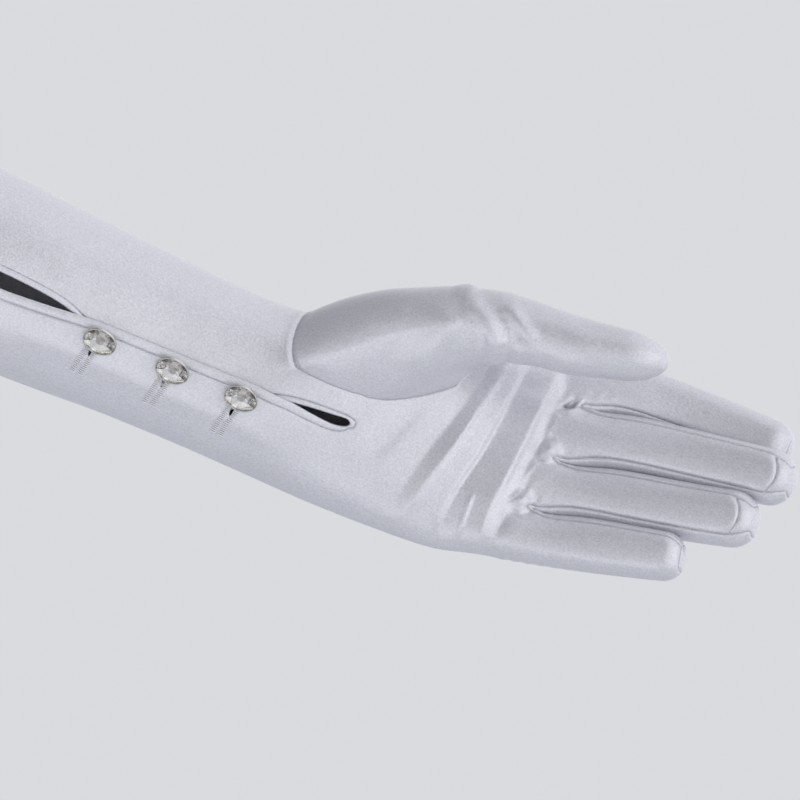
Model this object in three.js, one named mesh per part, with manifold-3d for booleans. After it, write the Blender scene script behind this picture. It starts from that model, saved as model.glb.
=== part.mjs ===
// A long satin dress glove for the left hand, in the form it has on the arm.
// Millimetres. +X runs along the sleeve from the cuff to the fingertips, +Z to the
// thumb side, and the palm faces -Y. The origin is the centre of the cuff opening.
import * as THREE from 'three';
import Module from 'manifold-3d';
import { mergeVertices } from 'three/addons/utils/BufferGeometryUtils.js';

// Cloth: its thickness, the gap between two pieces at a seam, and how far a side strip
// ends short of the crotch between two fingers
const WALL = 1.1;
const SEAM_GAP = 0.42;
const CROTCH_EASE = 1.1;

// Columns of cloth round the hand: each finger has a palm panel and a back panel,
// and the sides between them carry the fourchettes.
const FINGERS = 4;
const PANEL = 4;
const SIDE = 3;
const PALM = FINGERS * PANEL;
const RADIAL_CORNER = PALM;
const BACK_START = PALM + SIDE;
const ULNAR_CORNER = BACK_START + PALM;
const AROUND = ULNAR_CORNER + SIDE;

// Wrist opening: the column of the palm where the cloth is slit, its bound edge, and
// where the columns of the palm begin and end to follow it
const SLIT_COLUMN = PALM / 2;
const BINDING_WIDTH = 3.3;
const SLIT_START = 168;
const SLIT_END = 316;
const SLIT_FADE = { from: 130, full: 166, to: 356 };

// Thumb hole: the oval seam, as a span of length and a span of columns
const HOLE = { start: 287, end: 347.5, first: PALM - 5, last: PALM + SIDE + 1 };

// Rows of cloth along the arm, up to the crotches of the fingers
const ROW_BANDS = [
  { to: 164, rows: 4 },
  { to: SLIT_START, rows: 1 },
  { to: HOLE.start, rows: 11 },
  { to: SLIT_END, rows: 4 },
  { to: HOLE.end, rows: 7 },
  { to: 378, rows: 7 },
];
const FINGER_ROWS = 7;
const TIP_ANGLES = [34, 60];

// Sections of the arm and hand: the lowest and highest point seen from the palm side,
// the full thickness, the middle's depth, the roll of the palm and how square it is
const BODY = [
  { x: 0, low: -40, high: 40, thick: 74, depth: 0, roll: 0, square: 2.05 },
  { x: 95, low: -36, high: 36.5, thick: 66, depth: 0, roll: 0, square: 2.05 },
  { x: 190, low: -31.7, high: 31.7, thick: 56, depth: 0, roll: 0, square: 2.1 },
  { x: 245, low: -29, high: 28.9, thick: 48, depth: 0, roll: 0, square: 2.15 },
  { x: 288, low: -28.8, high: 29, thick: 42, depth: 0, roll: 1, square: 2.2 },
  { x: 316, low: -28.8, high: 36, thick: 36, depth: 0.5, roll: 6, square: 2.25 },
  { x: 342, low: -27.6, high: 47, thick: 31, depth: 1, roll: 12, square: 2.3 },
  { x: 360, low: -25.6, high: 53, thick: 28, depth: 0.5, roll: 16, square: 2.4 },
  { x: 378, low: -21, high: 56.5, thick: 24, depth: 0, roll: 18, square: 2.6 },
];
// Where across the palm its panel turns into the side, as a share of the half width
const SLEEVE_EDGE = 0.9;

// The opening's two bound edges, seen from the palm side, and how far the outer one,
// on the little finger's side, is lifted over the inner one
const OPENING = [
  { x: 168, outer: -1.6, inner: -1.6, lift: 0 },
  { x: 180, outer: -3.9, inner: 0.6, lift: 0 },
  { x: 192, outer: -4.3, inner: 0.8, lift: 0 },
  { x: 205, outer: -3.4, inner: 0.1, lift: 0.4 },
  { x: 215, outer: -2.4, inner: -1.2, lift: 1.6 },
  { x: 222, outer: -1.6, inner: -4, lift: 2 },
  { x: 232, outer: -1.1, inner: -11, lift: 2 },
  { x: 245, outer: -0.8, inner: -13, lift: 2 },
  { x: 270, outer: -0.4, inner: -13, lift: 2 },
  { x: 281, outer: -0.1, inner: -9.5, lift: 2 },
  { x: 288, outer: -0.7, inner: -3.4, lift: 1.9 },
  { x: 295, outer: -1.9, inner: -0.3, lift: 1.3 },
  { x: 301, outer: -3, inner: 0.6, lift: 0.4 },
  { x: 309, outer: -3.9, inner: 0.7, lift: 0 },
  { x: 316, outer: -1.6, inner: -1.6, lift: 0 },
];
// The lift holds in full down to one level and fades out at the other
const LIFT_FULL = -14;
const LIFT_NONE = -20;

// Fingers, little finger first: the centre line's base, middle and tip, and the half
// width and half thickness at the base and before the tip
const FINGER_TABLE = [
  { x: 376, y: -9.5, z: -10.8, midX: 404, midY: -14, midZ: -4.9, tipX: 436, tipY: -23, tipZ: 4.2,
    width: 9.8, endWidth: 7.6, thick: 8.4, endThick: 6.8, roll: 19 },
  { x: 378, y: -3.4, z: 8.4, midX: 415, midY: -9, midZ: 15, tipX: 453, tipY: -21, tipZ: 25,
    width: 9.3, endWidth: 8.7, thick: 8.6, endThick: 7.3, roll: 19 },
  { x: 379.5, y: 2.9, z: 26.6, midX: 418, midY: -3, midZ: 34, tipX: 459.5, tipY: -15, tipZ: 41.6,
    width: 9.4, endWidth: 8.8, thick: 8.8, endThick: 7.4, roll: 19 },
  { x: 380, y: 10.2, z: 46.2, midX: 418, midY: 7.5, midZ: 49.2, tipX: 454.5, tipY: 1, tipZ: 50.6,
    width: 9.5, endWidth: 7.8, thick: 8.8, endThick: 7.2, roll: 19 },
];
const FINGER_SQUARE = 2.5;
// How wide a finger's palm panel is, as a share of its half width
const PANEL_SHARE = 0.78;
// Lengths over which the fingers leave the crotches and the hand runs into the fingers
const CROTCH_BLEND = 9;
const KNUCKLE_BLEND = 22;
// The crotches lie further back on the back of the hand, and the webs bulge forward
const BACK_CROTCH_STEP = 5;
const WEB_BULGE = 1.5;

// Thumb, from its knuckle to its tip: centres and half sizes of its sections; turn is
// how far a section has swung from the plane of the oval seam (0) to square across (90)
const THUMB = [
  { x: 350, y: -26.2, z: 49.8, turn: 80, long: 12, short: 12 },
  { x: 362, y: -29, z: 52.4, turn: 87, long: 10.2, short: 10.5 },
  { x: 374, y: -31.2, z: 53.8, turn: 90, long: 9.6, short: 10.3 },
  { x: 387, y: -33.2, z: 56.8, turn: 90, long: 8.8, short: 8.7 },
];
const THUMB_TIP = { x: 403.5, y: -35.5, z: 60 };
// Which way the oval seam faces, and which way the thumb's knuckle points
const THUMB_MOUTH = new THREE.Vector3(-0.07, -0.61, 0.8).normalize();
const THUMB_AIM = new THREE.Vector3(0.97, -0.14, 0.2).normalize();
// The ball of the thumb: rows from the oval seam to the knuckle, how far the cloth
// swells off the hand at the seam, and how straight it runs into the knuckle
const BALL = { rows: 6, swell: 0.45, toward: 0.65, into: 0.9 };

// Folds across the palm, each a ridge (height above 0) or a valley from one point
// to another, seen from the palm side; wide is the half width of the fold
const FOLDS = [
  { x: 354.5, z: 32, toX: 346, toZ: -10, height: 1.2, wide: 3.2 },
  { x: 348, z: 24, toX: 341, toZ: -9, height: -1.2, wide: 3.4 },
  { x: 361.5, z: 36, toX: 356, toZ: -18, height: -1.3, wide: 3.4 },
  { x: 372.4, z: 37, toX: 370.8, toZ: -16, height: 1.5, wide: 3 },
];
// A fold fades out over this share of its length at either end
const FOLD_FADE = 0.15;

// Buttons on the opening: the place of each stone seen from the palm side
const BUTTONS = [
  { x: 228.8, z: -7.4 },
  { x: 254.4, z: -6.9 },
  { x: 278.9, z: -6.1 },
];
// The setting's cup: reach is how far its middle stands off the cloth, bezel the width of
// its rim and seat the thickness of its floor; foot and bowl are shares of the radius,
// waist and lip shares of the height from the middle
const BUTTON = {
  sides: 20, radius: 5.8, height: 3.3, tilt: 38, reach: 7.2, bezel: 0.9, seat: 1.1,
  foot: 0.72, bowl: 0.5, waist: -0.1, lip: 0.36,
};
const SHANK = { radius: 0.9, sides: 12, sunk: 0.6, low: 0.3 };
const BUTTONHOLE = { below: 2.4, length: 8, width: 2.6, deep: 8, clear: 0.25 };
// The stone: half width of its table, heights of its crown, girdle and pavilion, its gap
// to the bezel, how high it sits in the cup, and where its crown facets break
const STONE = {
  table: 2.5, crown: 1.3, girdle: 0.4, pavilion: 1.1, facets: 8, gap: 0.3, seat: 0.66, star: 0.62,
};
const WELD = 1e-4;

const smooth = (t) => {
  const k = THREE.MathUtils.clamp(t, 0, 1);
  return k * k * (3 - 2 * k);
};
const lerp = THREE.MathUtils.lerp;
const rad = THREE.MathUtils.degToRad;

// One column of a table read at a place, by a smooth curve through its rows
function read(table, key, x) {
  let i = 0;
  while (i < table.length - 2 && x > table[i + 1].x) i++;
  const a = table[i];
  const b = table[i + 1];
  const before = table[Math.max(i - 1, 0)];
  const after = table[Math.min(i + 2, table.length - 1)];
  const span = b.x - a.x;
  const t = THREE.MathUtils.clamp((x - a.x) / span, 0, 1);
  const slopeA = i > 0 ? ((b[key] - before[key]) / (b.x - before.x)) * span : b[key] - a[key];
  const slopeB = i < table.length - 2 ? ((after[key] - a[key]) / (after.x - a.x)) * span : b[key] - a[key];
  const t2 = t * t;
  const t3 = t2 * t;
  return (2 * t3 - 3 * t2 + 1) * a[key] + (t3 - 2 * t2 + t) * slopeA
    + (3 * t2 - 2 * t3) * b[key] + (t3 - t2) * slopeB;
}

// The frame of the arm or hand at a place along it
function bodyFrame(x) {
  const roll = rad(read(BODY, 'roll', x));
  const low = read(BODY, 'low', x);
  const high = read(BODY, 'high', x);
  return {
    centre: new THREE.Vector3(x, read(BODY, 'depth', x), (low + high) / 2),
    across: new THREE.Vector3(0, Math.sin(roll), Math.cos(roll)),
    out: new THREE.Vector3(0, -Math.cos(roll), Math.sin(roll)),
    half: (high - low) / 2 / Math.cos(roll),
    thick: read(BODY, 'thick', x) / 2,
    square: read(BODY, 'square', x),
  };
}

// How much of the slit's own column spacing holds at a place along the arm
function slitShare(x) {
  return smooth((x - SLIT_FADE.from) / (SLIT_FADE.full - SLIT_FADE.from))
    * (1 - smooth((x - SLIT_END) / (SLIT_FADE.to - SLIT_END)));
}

// Where a column of the palm lies across the hand, from -1 to 1
function acrossPalm(x, column, frame, opening) {
  const even = lerp(-SLEEVE_EDGE, SLEEVE_EDGE, column / PALM);
  const share = slitShare(x);
  if (share === 0) return even;
  const at = (z) => (z - frame.centre.z) / frame.half / frame.across.z;
  let own;
  if (column <= SLIT_COLUMN - 1) {
    own = lerp(-SLEEVE_EDGE, at(opening.outer - BINDING_WIDTH), column / (SLIT_COLUMN - 1));
  } else if (column < SLIT_COLUMN) {
    own = at(opening.outer - BINDING_WIDTH * (SLIT_COLUMN - column));
  } else if (column <= SLIT_COLUMN + 1) {
    own = at(opening.inner + BINDING_WIDTH * (column - SLIT_COLUMN));
  } else {
    const step = (column - SLIT_COLUMN - 1) / (PALM - SLIT_COLUMN - 1);
    own = lerp(at(opening.inner + BINDING_WIDTH), SLEEVE_EDGE, step);
  }
  return lerp(even, own, share);
}

// A point on a squared oval: from its place across, and which face it is on
function onOval(frame, share, face) {
  const away = frame.thick * (1 - Math.abs(share) ** frame.square) ** (1 / frame.square);
  return frame.centre.clone()
    .addScaledVector(frame.across, frame.half * share)
    .addScaledVector(frame.out, face * away);
}

// A point on the side of a squared oval, from the palm's corner (0) to the back's (1)
function onSide(frame, side, edge, step) {
  const corner = (1 - edge ** frame.square) ** (1 / frame.square);
  const height = lerp(corner, -corner, step);
  const reach = (1 - Math.abs(height) ** frame.square) ** (1 / frame.square);
  return frame.centre.clone()
    .addScaledVector(frame.across, side * frame.half * reach)
    .addScaledVector(frame.out, height * frame.thick);
}

// The opening's edges where it is open, and the plain line of its column elsewhere
function openingAt(x) {
  const at = THREE.MathUtils.clamp(x, SLIT_START, SLIT_END);
  return {
    outer: read(OPENING, 'outer', at),
    inner: read(OPENING, 'inner', at),
    lift: read(OPENING, 'lift', at),
  };
}

// A point of the arm and hand, before the folds, from its length and its column
function bodyPoint(x, column, innerEdge) {
  const frame = bodyFrame(x);
  const u = ((column % AROUND) + AROUND) % AROUND;
  if (u > RADIAL_CORNER && u < BACK_START) {
    return onSide(frame, 1, SLEEVE_EDGE, (u - RADIAL_CORNER) / SIDE);
  }
  if (u > ULNAR_CORNER) {
    return onSide(frame, -1, SLEEVE_EDGE, 1 - (u - ULNAR_CORNER) / SIDE);
  }
  if (u >= BACK_START) {
    return onOval(frame, lerp(SLEEVE_EDGE, -SLEEVE_EDGE, (u - BACK_START) / PALM), -1);
  }
  const opening = openingAt(x);
  const before = u < SLIT_COLUMN || (u === SLIT_COLUMN && !innerEdge);
  if (u === SLIT_COLUMN && !innerEdge) opening.inner = opening.outer;
  const point = onOval(frame, acrossPalm(x, u, frame, opening), 1);
  if (before && x > SLIT_START && x < SLIT_END) {
    const reach = smooth((point.z - LIFT_NONE) / (LIFT_FULL - LIFT_NONE));
    point.addScaledVector(frame.out, opening.lift * reach);
  }
  return point;
}

// A finger's frame at a length share, its centre line being a curve through three points
function fingerFrame(finger, share) {
  const base = new THREE.Vector3(finger.x, finger.y, finger.z);
  const middle = new THREE.Vector3(finger.midX, finger.midY, finger.midZ);
  const tip = new THREE.Vector3(finger.tipX, finger.tipY, finger.tipZ);
  const handle = middle.clone().multiplyScalar(2).addScaledVector(base, -0.5).addScaledVector(tip, -0.5);
  const line = new THREE.QuadraticBezierCurve3(base, handle, tip);
  const at = Math.max(share, 0);
  const along = line.getTangent(at);
  const roll = rad(finger.roll);
  const across = new THREE.Vector3(0, Math.sin(roll), Math.cos(roll));
  across.addScaledVector(along, -across.dot(along)).normalize();
  const out = new THREE.Vector3().crossVectors(along, across).normalize();
  if (out.y > 0) out.negate();
  const length = line.getLength();
  const centre = line.getPoint(at).addScaledVector(along, Math.min(share, 0) * length);
  return {
    centre, across, out, along, length,
    half: lerp(finger.width, finger.endWidth, at),
    thick: lerp(finger.thick, finger.endThick, at),
    square: FINGER_SQUARE,
  };
}

// The ring of a finger's section: palm panel, side to the thumb, back panel, other side
function fingerRing(frame) {
  const ring = [];
  for (let j = 0; j <= PANEL; j++) ring.push(onOval(frame, lerp(-PANEL_SHARE, PANEL_SHARE, j / PANEL), 1));
  for (let i = 1; i < SIDE; i++) ring.push(onSide(frame, 1, PANEL_SHARE, i / SIDE));
  for (let j = 0; j <= PANEL; j++) ring.push(onOval(frame, lerp(PANEL_SHARE, -PANEL_SHARE, j / PANEL), -1));
  for (let i = 1; i < SIDE; i++) ring.push(onSide(frame, -1, PANEL_SHARE, 1 - i / SIDE));
  return ring;
}

// The net of the whole glove: points of the outer face and the four-sided patches
// between them, each patch belonging to one piece
const net = { points: [], patches: [] };
function addPoint(point) {
  net.points.push(point);
  return net.points.length - 1;
}
function addPatch(piece, a, b, c, d) {
  net.patches.push({ piece, corners: [a, b, c, d] });
}

// Rows of the arm and hand
const rowPlaces = [0];
for (const band of ROW_BANDS) {
  const from = rowPlaces[rowPlaces.length - 1];
  for (let i = 1; i <= band.rows; i++) rowPlaces.push(lerp(from, band.to, i / band.rows));
}
const LAST_ROW = rowPlaces.length - 1;
const rowOf = (x) => rowPlaces.findIndex((place) => Math.abs(place - x) < WELD);
const slitRows = { first: rowOf(SLIT_START), last: rowOf(SLIT_END) };
const holeRows = { first: rowOf(HOLE.start), last: rowOf(HOLE.end) };

// Near the thumb hole the net is drawn from a rectangle to an oval
function warpToHole(x, column) {
  const middleX = (HOLE.start + HOLE.end) / 2;
  const middleC = (HOLE.first + HOLE.last) / 2;
  const halfX = (HOLE.end - HOLE.start) / 2;
  const halfC = (HOLE.last - HOLE.first) / 2;
  const a = (x - middleX) / halfX;
  const b = (column - middleC) / halfC;
  const far = Math.max(Math.abs(a), Math.abs(b));
  if (far >= 2 || far === 0) return { x, column };
  const ua = a / far;
  const ub = b / far;
  const roundA = far * ua * Math.sqrt(1 - ub * ub / 2);
  const roundB = far * ub * Math.sqrt(1 - ua * ua / 2);
  const besideSlit = (HOLE.first - column) / (HOLE.first - SLIT_COLUMN - 1);
  const keep = Math.max(smooth(far - 1), smooth(besideSlit));
  return { x: middleX + halfX * lerp(roundA, a, keep), column: middleC + halfC * lerp(roundB, b, keep) };
}

// Folds push the palm's points along the palm's own direction
function foldHeight(x, z) {
  let height = 0;
  for (const fold of FOLDS) {
    const run = new THREE.Vector2(fold.toX - fold.x, fold.toZ - fold.z);
    const from = new THREE.Vector2(x - fold.x, z - fold.z);
    const t = from.dot(run) / run.lengthSq();
    const off = Math.abs(from.cross(run)) / run.length();
    const ends = smooth((t + FOLD_FADE) / (2 * FOLD_FADE)) * smooth((1 + FOLD_FADE - t) / (2 * FOLD_FADE));
    height += fold.height * ends * Math.exp(-((off / fold.wide) ** 2));
  }
  return height;
}

const fingerBases = FINGER_TABLE.map((finger) => fingerFrame(finger, 0));

// Crotch points between neighbouring fingers, on the palm and on the back
function crotchPoint(k, face) {
  const near = onOval(fingerBases[k], PANEL_SHARE, face);
  const far = onOval(fingerBases[k + 1], -PANEL_SHARE, face);
  const point = near.add(far).multiplyScalar(0.5);
  if (face < 0) point.x -= BACK_CROTCH_STEP;
  return point;
}

// Where a column of the last rows meets the fingers: its finger's tube run backward
function knucklePoint(column, back) {
  const u = column >= BACK_START && column <= ULNAR_CORNER ? PALM - (column - BACK_START) : column;
  if (column > ULNAR_CORNER) {
    return onSide(fingerFrame(FINGER_TABLE[0], -back), -1, PANEL_SHARE, 1 - (column - ULNAR_CORNER) / SIDE);
  }
  if (column > RADIAL_CORNER && column < BACK_START) {
    const frame = fingerFrame(FINGER_TABLE[FINGERS - 1], -back);
    return onSide(frame, 1, PANEL_SHARE, (column - RADIAL_CORNER) / SIDE);
  }
  const face = column >= BACK_START ? -1 : 1;
  const k = Math.min(Math.floor(u / PANEL), FINGERS - 1);
  const j = u - k * PANEL;
  const shared = j === 0 && k > 0;
  const outside = u === 0 || u === PALM;
  const point = onOval(fingerFrame(FINGER_TABLE[k], -back), lerp(-PANEL_SHARE, PANEL_SHARE, j / PANEL), face);
  if (shared) {
    point.add(onOval(fingerFrame(FINGER_TABLE[k - 1], -back), PANEL_SHARE, face)).multiplyScalar(0.5);
  }
  if (face < 0 && !outside) point.x -= BACK_CROTCH_STEP;
  return point;
}

function handPoint(row, column, innerEdge) {
  const warped = warpToHole(rowPlaces[row], column);
  const point = bodyPoint(warped.x, warped.column, innerEdge);
  const back = rowPlaces[LAST_ROW] - rowPlaces[row];
  if (back < KNUCKLE_BLEND) {
    point.lerp(knucklePoint(column, back / fingerBases[0].length), 1 - smooth(back / KNUCKLE_BLEND));
  }
  if (column <= PALM) {
    const frame = bodyFrame(warped.x);
    point.addScaledVector(frame.out, foldHeight(point.x, point.z));
  }
  return point;
}

const handGrid = [];
const innerEdges = [];
for (let row = 0; row <= LAST_ROW; row++) {
  handGrid.push([]);
  for (let column = 0; column < AROUND; column++) {
    const inHole = row > holeRows.first && row < holeRows.last && column > HOLE.first && column < HOLE.last;
    handGrid[row].push(inHole ? -1 : addPoint(handPoint(row, column, false)));
  }
  const open = row > slitRows.first && row < slitRows.last;
  innerEdges.push(open ? addPoint(handPoint(row, SLIT_COLUMN, true)) : handGrid[row][SLIT_COLUMN]);
}

function pieceAt(row, column) {
  const beside = column === SLIT_COLUMN - 1 || column === SLIT_COLUMN;
  const along = row >= slitRows.first - 1 && row <= slitRows.last;
  return beside && along ? 'slit_binding' : 'trank';
}

for (let row = 0; row < LAST_ROW; row++) {
  for (let column = 0; column < AROUND; column++) {
    const overHole = row >= holeRows.first && row < holeRows.last && column >= HOLE.first && column < HOLE.last;
    if (overHole) continue;
    const next = (column + 1) % AROUND;
    const left = (r) => (column === SLIT_COLUMN ? innerEdges[r] : handGrid[r][column]);
    addPatch(pieceAt(row, column), left(row), left(row + 1), handGrid[row + 1][next], handGrid[row][next]);
  }
}

// Fingers grow from the last row; neighbours share the web line between two crotch points
const webs = [];
for (let k = 0; k < FINGERS - 1; k++) {
  const palmPoint = crotchPoint(k, 1);
  const backPoint = crotchPoint(k, -1);
  const web = [];
  for (let i = 1; i < SIDE; i++) {
    const point = palmPoint.clone().lerp(backPoint, i / SIDE);
    point.x += WEB_BULGE;
    web.push(addPoint(point));
  }
  webs.push(web);
}

function baseRing(k) {
  const last = handGrid[LAST_ROW];
  const ring = [];
  for (let j = 0; j <= PANEL; j++) ring.push(last[k * PANEL + j]);
  for (let i = 1; i < SIDE; i++) ring.push(k < FINGERS - 1 ? webs[k][i - 1] : last[RADIAL_CORNER + i]);
  for (let j = PANEL; j >= 0; j--) ring.push(last[BACK_START + PALM - k * PANEL - j]);
  for (let i = 1; i < SIDE; i++) {
    ring.push(k > 0 ? webs[k - 1][SIDE - 1 - i] : last[(ULNAR_CORNER + i) % AROUND]);
  }
  return ring;
}

// The points where a side strip ends in the crotch, on the palm and on the back
const crotches = new Set();
for (let k = 1; k < FINGERS; k++) {
  crotches.add(handGrid[LAST_ROW][k * PANEL]);
  crotches.add(handGrid[LAST_ROW][BACK_START + k * PANEL]);
}

const FOURCHETTES = ['fourchette_ring_little', 'fourchette_middle_ring', 'fourchette_index_middle'];
function fingerPiece(k, place) {
  const thumbSide = place >= PANEL && place < PANEL + SIDE;
  const littleSide = place >= 2 * PANEL + SIDE;
  if (thumbSide && k < FINGERS - 1) return FOURCHETTES[k];
  if (littleSide && k > 0) return FOURCHETTES[k - 1];
  return 'trank';
}

// Patches between two rings
function joinRings(from, to, pieceOf) {
  for (let i = 0; i < from.length; i++) {
    const next = (i + 1) % from.length;
    addPatch(pieceOf(i), from[i], to[i], to[next], from[next]);
  }
}

// A ring closed by a grid of patches, with wide + 1 points on its first side and
// deep + 1 on its next; capPoint gives the point at a place (-1..1, -1..1) of the cap
function closeRing(ring, wide, deep, piece, capPoint) {
  const grid = [];
  for (let d = 0; d <= deep; d++) {
    const line = [];
    for (let w = 0; w <= wide; w++) {
      if (d === 0) line.push(ring[w]);
      else if (d === deep) line.push(ring[wide + deep + wide - w]);
      else if (w === wide) line.push(ring[wide + d]);
      else if (w === 0) line.push(ring[ring.length - d]);
      else line.push(addPoint(capPoint(2 * w / wide - 1, 2 * d / deep - 1)));
    }
    grid.push(line);
  }
  for (let d = 0; d < deep; d++) {
    for (let w = 0; w < wide; w++) {
      addPatch(piece, grid[d][w], grid[d + 1][w], grid[d + 1][w + 1], grid[d][w + 1]);
    }
  }
}

// A rounded end: sections that shrink as they near the tip, then a cap
function roundedFrame(frame, reach, angle) {
  const scale = Math.cos(rad(angle));
  return {
    ...frame,
    centre: frame.centre.clone().addScaledVector(frame.along, reach * Math.sin(rad(angle))),
    half: frame.half * scale,
    thick: frame.thick * scale,
  };
}

FINGER_TABLE.forEach((finger, k) => {
  const base = fingerBases[k];
  const tipReach = finger.endWidth;
  const bodyShare = 1 - tipReach / base.length;
  let ring = baseRing(k);
  const start = ring.map((index) => net.points[index].clone());
  const own = fingerRing(base);
  for (let row = 1; row <= FINGER_ROWS; row++) {
    const share = bodyShare * row / FINGER_ROWS;
    const places = fingerRing(fingerFrame(finger, share));
    const drawn = Math.exp(-((share * base.length / CROTCH_BLEND) ** 2));
    const next = places.map((point, i) => {
      const offset = start[i].clone().sub(own[i]);
      return addPoint(point.addScaledVector(offset, drawn));
    });
    joinRings(ring, next, (i) => fingerPiece(k, i));
    ring = next;
  }
  const end = fingerFrame(finger, bodyShare);
  for (const angle of TIP_ANGLES) {
    const next = fingerRing(roundedFrame(end, tipReach, angle)).map(addPoint);
    joinRings(ring, next, (i) => fingerPiece(k, i));
    ring = next;
  }
  const lastAngle = TIP_ANGLES[TIP_ANGLES.length - 1];
  closeRing(ring, PANEL, SIDE, 'trank', (w, d) => {
    const size = Math.cos(rad(lastAngle)) * Math.max(Math.abs(w), Math.abs(d));
    const frame = roundedFrame(end, tipReach, THREE.MathUtils.radToDeg(Math.acos(size)));
    const turn = Math.hypot(w, d);
    return frame.centre.clone()
      .addScaledVector(frame.across, frame.half * w / turn)
      .addScaledVector(frame.out, -frame.thick * d / turn);
  });
});

// Thumb: the ring of the oval hole, swept out through its sections
const holeRing = [];
for (let c = HOLE.first; c < HOLE.last; c++) holeRing.push(handGrid[holeRows.first][c]);
for (let row = holeRows.first; row < holeRows.last; row++) holeRing.push(handGrid[row][HOLE.last]);
for (let c = HOLE.last; c > HOLE.first; c--) holeRing.push(handGrid[holeRows.last][c]);
for (let row = holeRows.last; row > holeRows.first; row--) holeRing.push(handGrid[row][HOLE.first]);

const holeCentre = new THREE.Vector3();
for (const index of holeRing) holeCentre.addScaledVector(net.points[index], 1 / holeRing.length);
const hinge = new THREE.Vector3().crossVectors(THUMB_MOUTH, THUMB_AIM).normalize();
const mouthLong = new THREE.Vector3().crossVectors(hinge, THUMB_MOUTH).normalize();
const holeOffsets = holeRing.map((index) => net.points[index].clone().sub(holeCentre));
const holeLong = Math.max(...holeOffsets.map((offset) => Math.abs(offset.dot(mouthLong))));
const holeShort = Math.max(...holeOffsets.map((offset) => Math.abs(offset.dot(hinge))));
const turns = holeOffsets.map((offset) => {
  return Math.atan2(offset.dot(hinge) / holeShort, offset.dot(mouthLong) / holeLong);
});

function thumbFrame(section) {
  const turn = rad(section.turn);
  return {
    centre: new THREE.Vector3(section.x, section.y, section.z),
    long: mouthLong.clone().multiplyScalar(Math.cos(turn)).addScaledVector(THUMB_MOUTH, -Math.sin(turn)),
    sizeLong: section.long,
    sizeShort: section.short,
  };
}
function thumbPoint(frame, angle) {
  return frame.centre.clone()
    .addScaledVector(frame.long, Math.cos(angle) * frame.sizeLong)
    .addScaledVector(hinge, Math.sin(angle) * frame.sizeShort);
}

// A point of the ball of the thumb, on a curve from the seam to the knuckle
function ballPoint(from, to, share) {
  const direct = to.clone().sub(from);
  const off = from.clone().sub(bodyFrame(from.x).centre);
  off.x = 0;
  const leave = direct.clone().multiplyScalar(BALL.toward)
    .addScaledVector(off.normalize(), direct.length() * BALL.swell);
  const arrive = THUMB_AIM.clone().multiplyScalar(direct.length() * BALL.into);
  const s2 = share * share;
  const s3 = s2 * share;
  return from.clone().multiplyScalar(2 * s3 - 3 * s2 + 1)
    .addScaledVector(leave, s3 - 2 * s2 + share)
    .addScaledVector(to, 3 * s2 - 2 * s3)
    .addScaledVector(arrive, s3 - s2);
}

const knuckle = thumbFrame(THUMB[0]);
let thumbRing = holeRing;
for (let row = 1; row <= BALL.rows; row++) {
  const next = turns.map((angle, i) => {
    const seamPoint = net.points[holeRing[i]];
    return addPoint(ballPoint(seamPoint, thumbPoint(knuckle, angle), row / BALL.rows));
  });
  joinRings(thumbRing, next, () => 'thumb');
  thumbRing = next;
}
for (const section of THUMB.slice(1)) {
  const frame = thumbFrame(section);
  const next = turns.map((angle) => addPoint(thumbPoint(frame, angle)));
  joinRings(thumbRing, next, () => 'thumb');
  thumbRing = next;
}
const lastSection = THUMB[THUMB.length - 1];
const tipPoint = new THREE.Vector3(THUMB_TIP.x, THUMB_TIP.y, THUMB_TIP.z);
const tipRun = tipPoint.clone().sub(new THREE.Vector3(lastSection.x, lastSection.y, lastSection.z));
function thumbTipFrame(angle) {
  const frame = thumbFrame(lastSection);
  frame.centre.addScaledVector(tipRun, Math.sin(rad(angle)));
  frame.sizeLong *= Math.cos(rad(angle));
  frame.sizeShort *= Math.cos(rad(angle));
  return frame;
}
for (const angle of TIP_ANGLES) {
  const next = turns.map((turn) => addPoint(thumbPoint(thumbTipFrame(angle), turn)));
  joinRings(thumbRing, next, () => 'thumb');
  thumbRing = next;
}
closeRing(thumbRing, HOLE.last - HOLE.first, holeRows.last - holeRows.first, 'thumb', (w, d) => {
  const size = Math.cos(rad(TIP_ANGLES[TIP_ANGLES.length - 1])) * Math.max(Math.abs(w), Math.abs(d));
  const frame = thumbTipFrame(THREE.MathUtils.radToDeg(Math.acos(size)));
  const place = Math.atan2(w, d);
  return thumbPoint(frame, place);
});

// Outward direction of the net at each point
const normals = net.points.map(() => new THREE.Vector3());
for (const patch of net.patches) {
  const [a, b, c, d] = patch.corners.map((index) => net.points[index]);
  const facing = new THREE.Vector3().crossVectors(c.clone().sub(a), d.clone().sub(b));
  patch.middle = a.clone().add(b).add(c).add(d).multiplyScalar(0.25);
  for (const index of patch.corners) normals[index].add(facing);
}
for (const normal of normals) normal.normalize();

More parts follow.
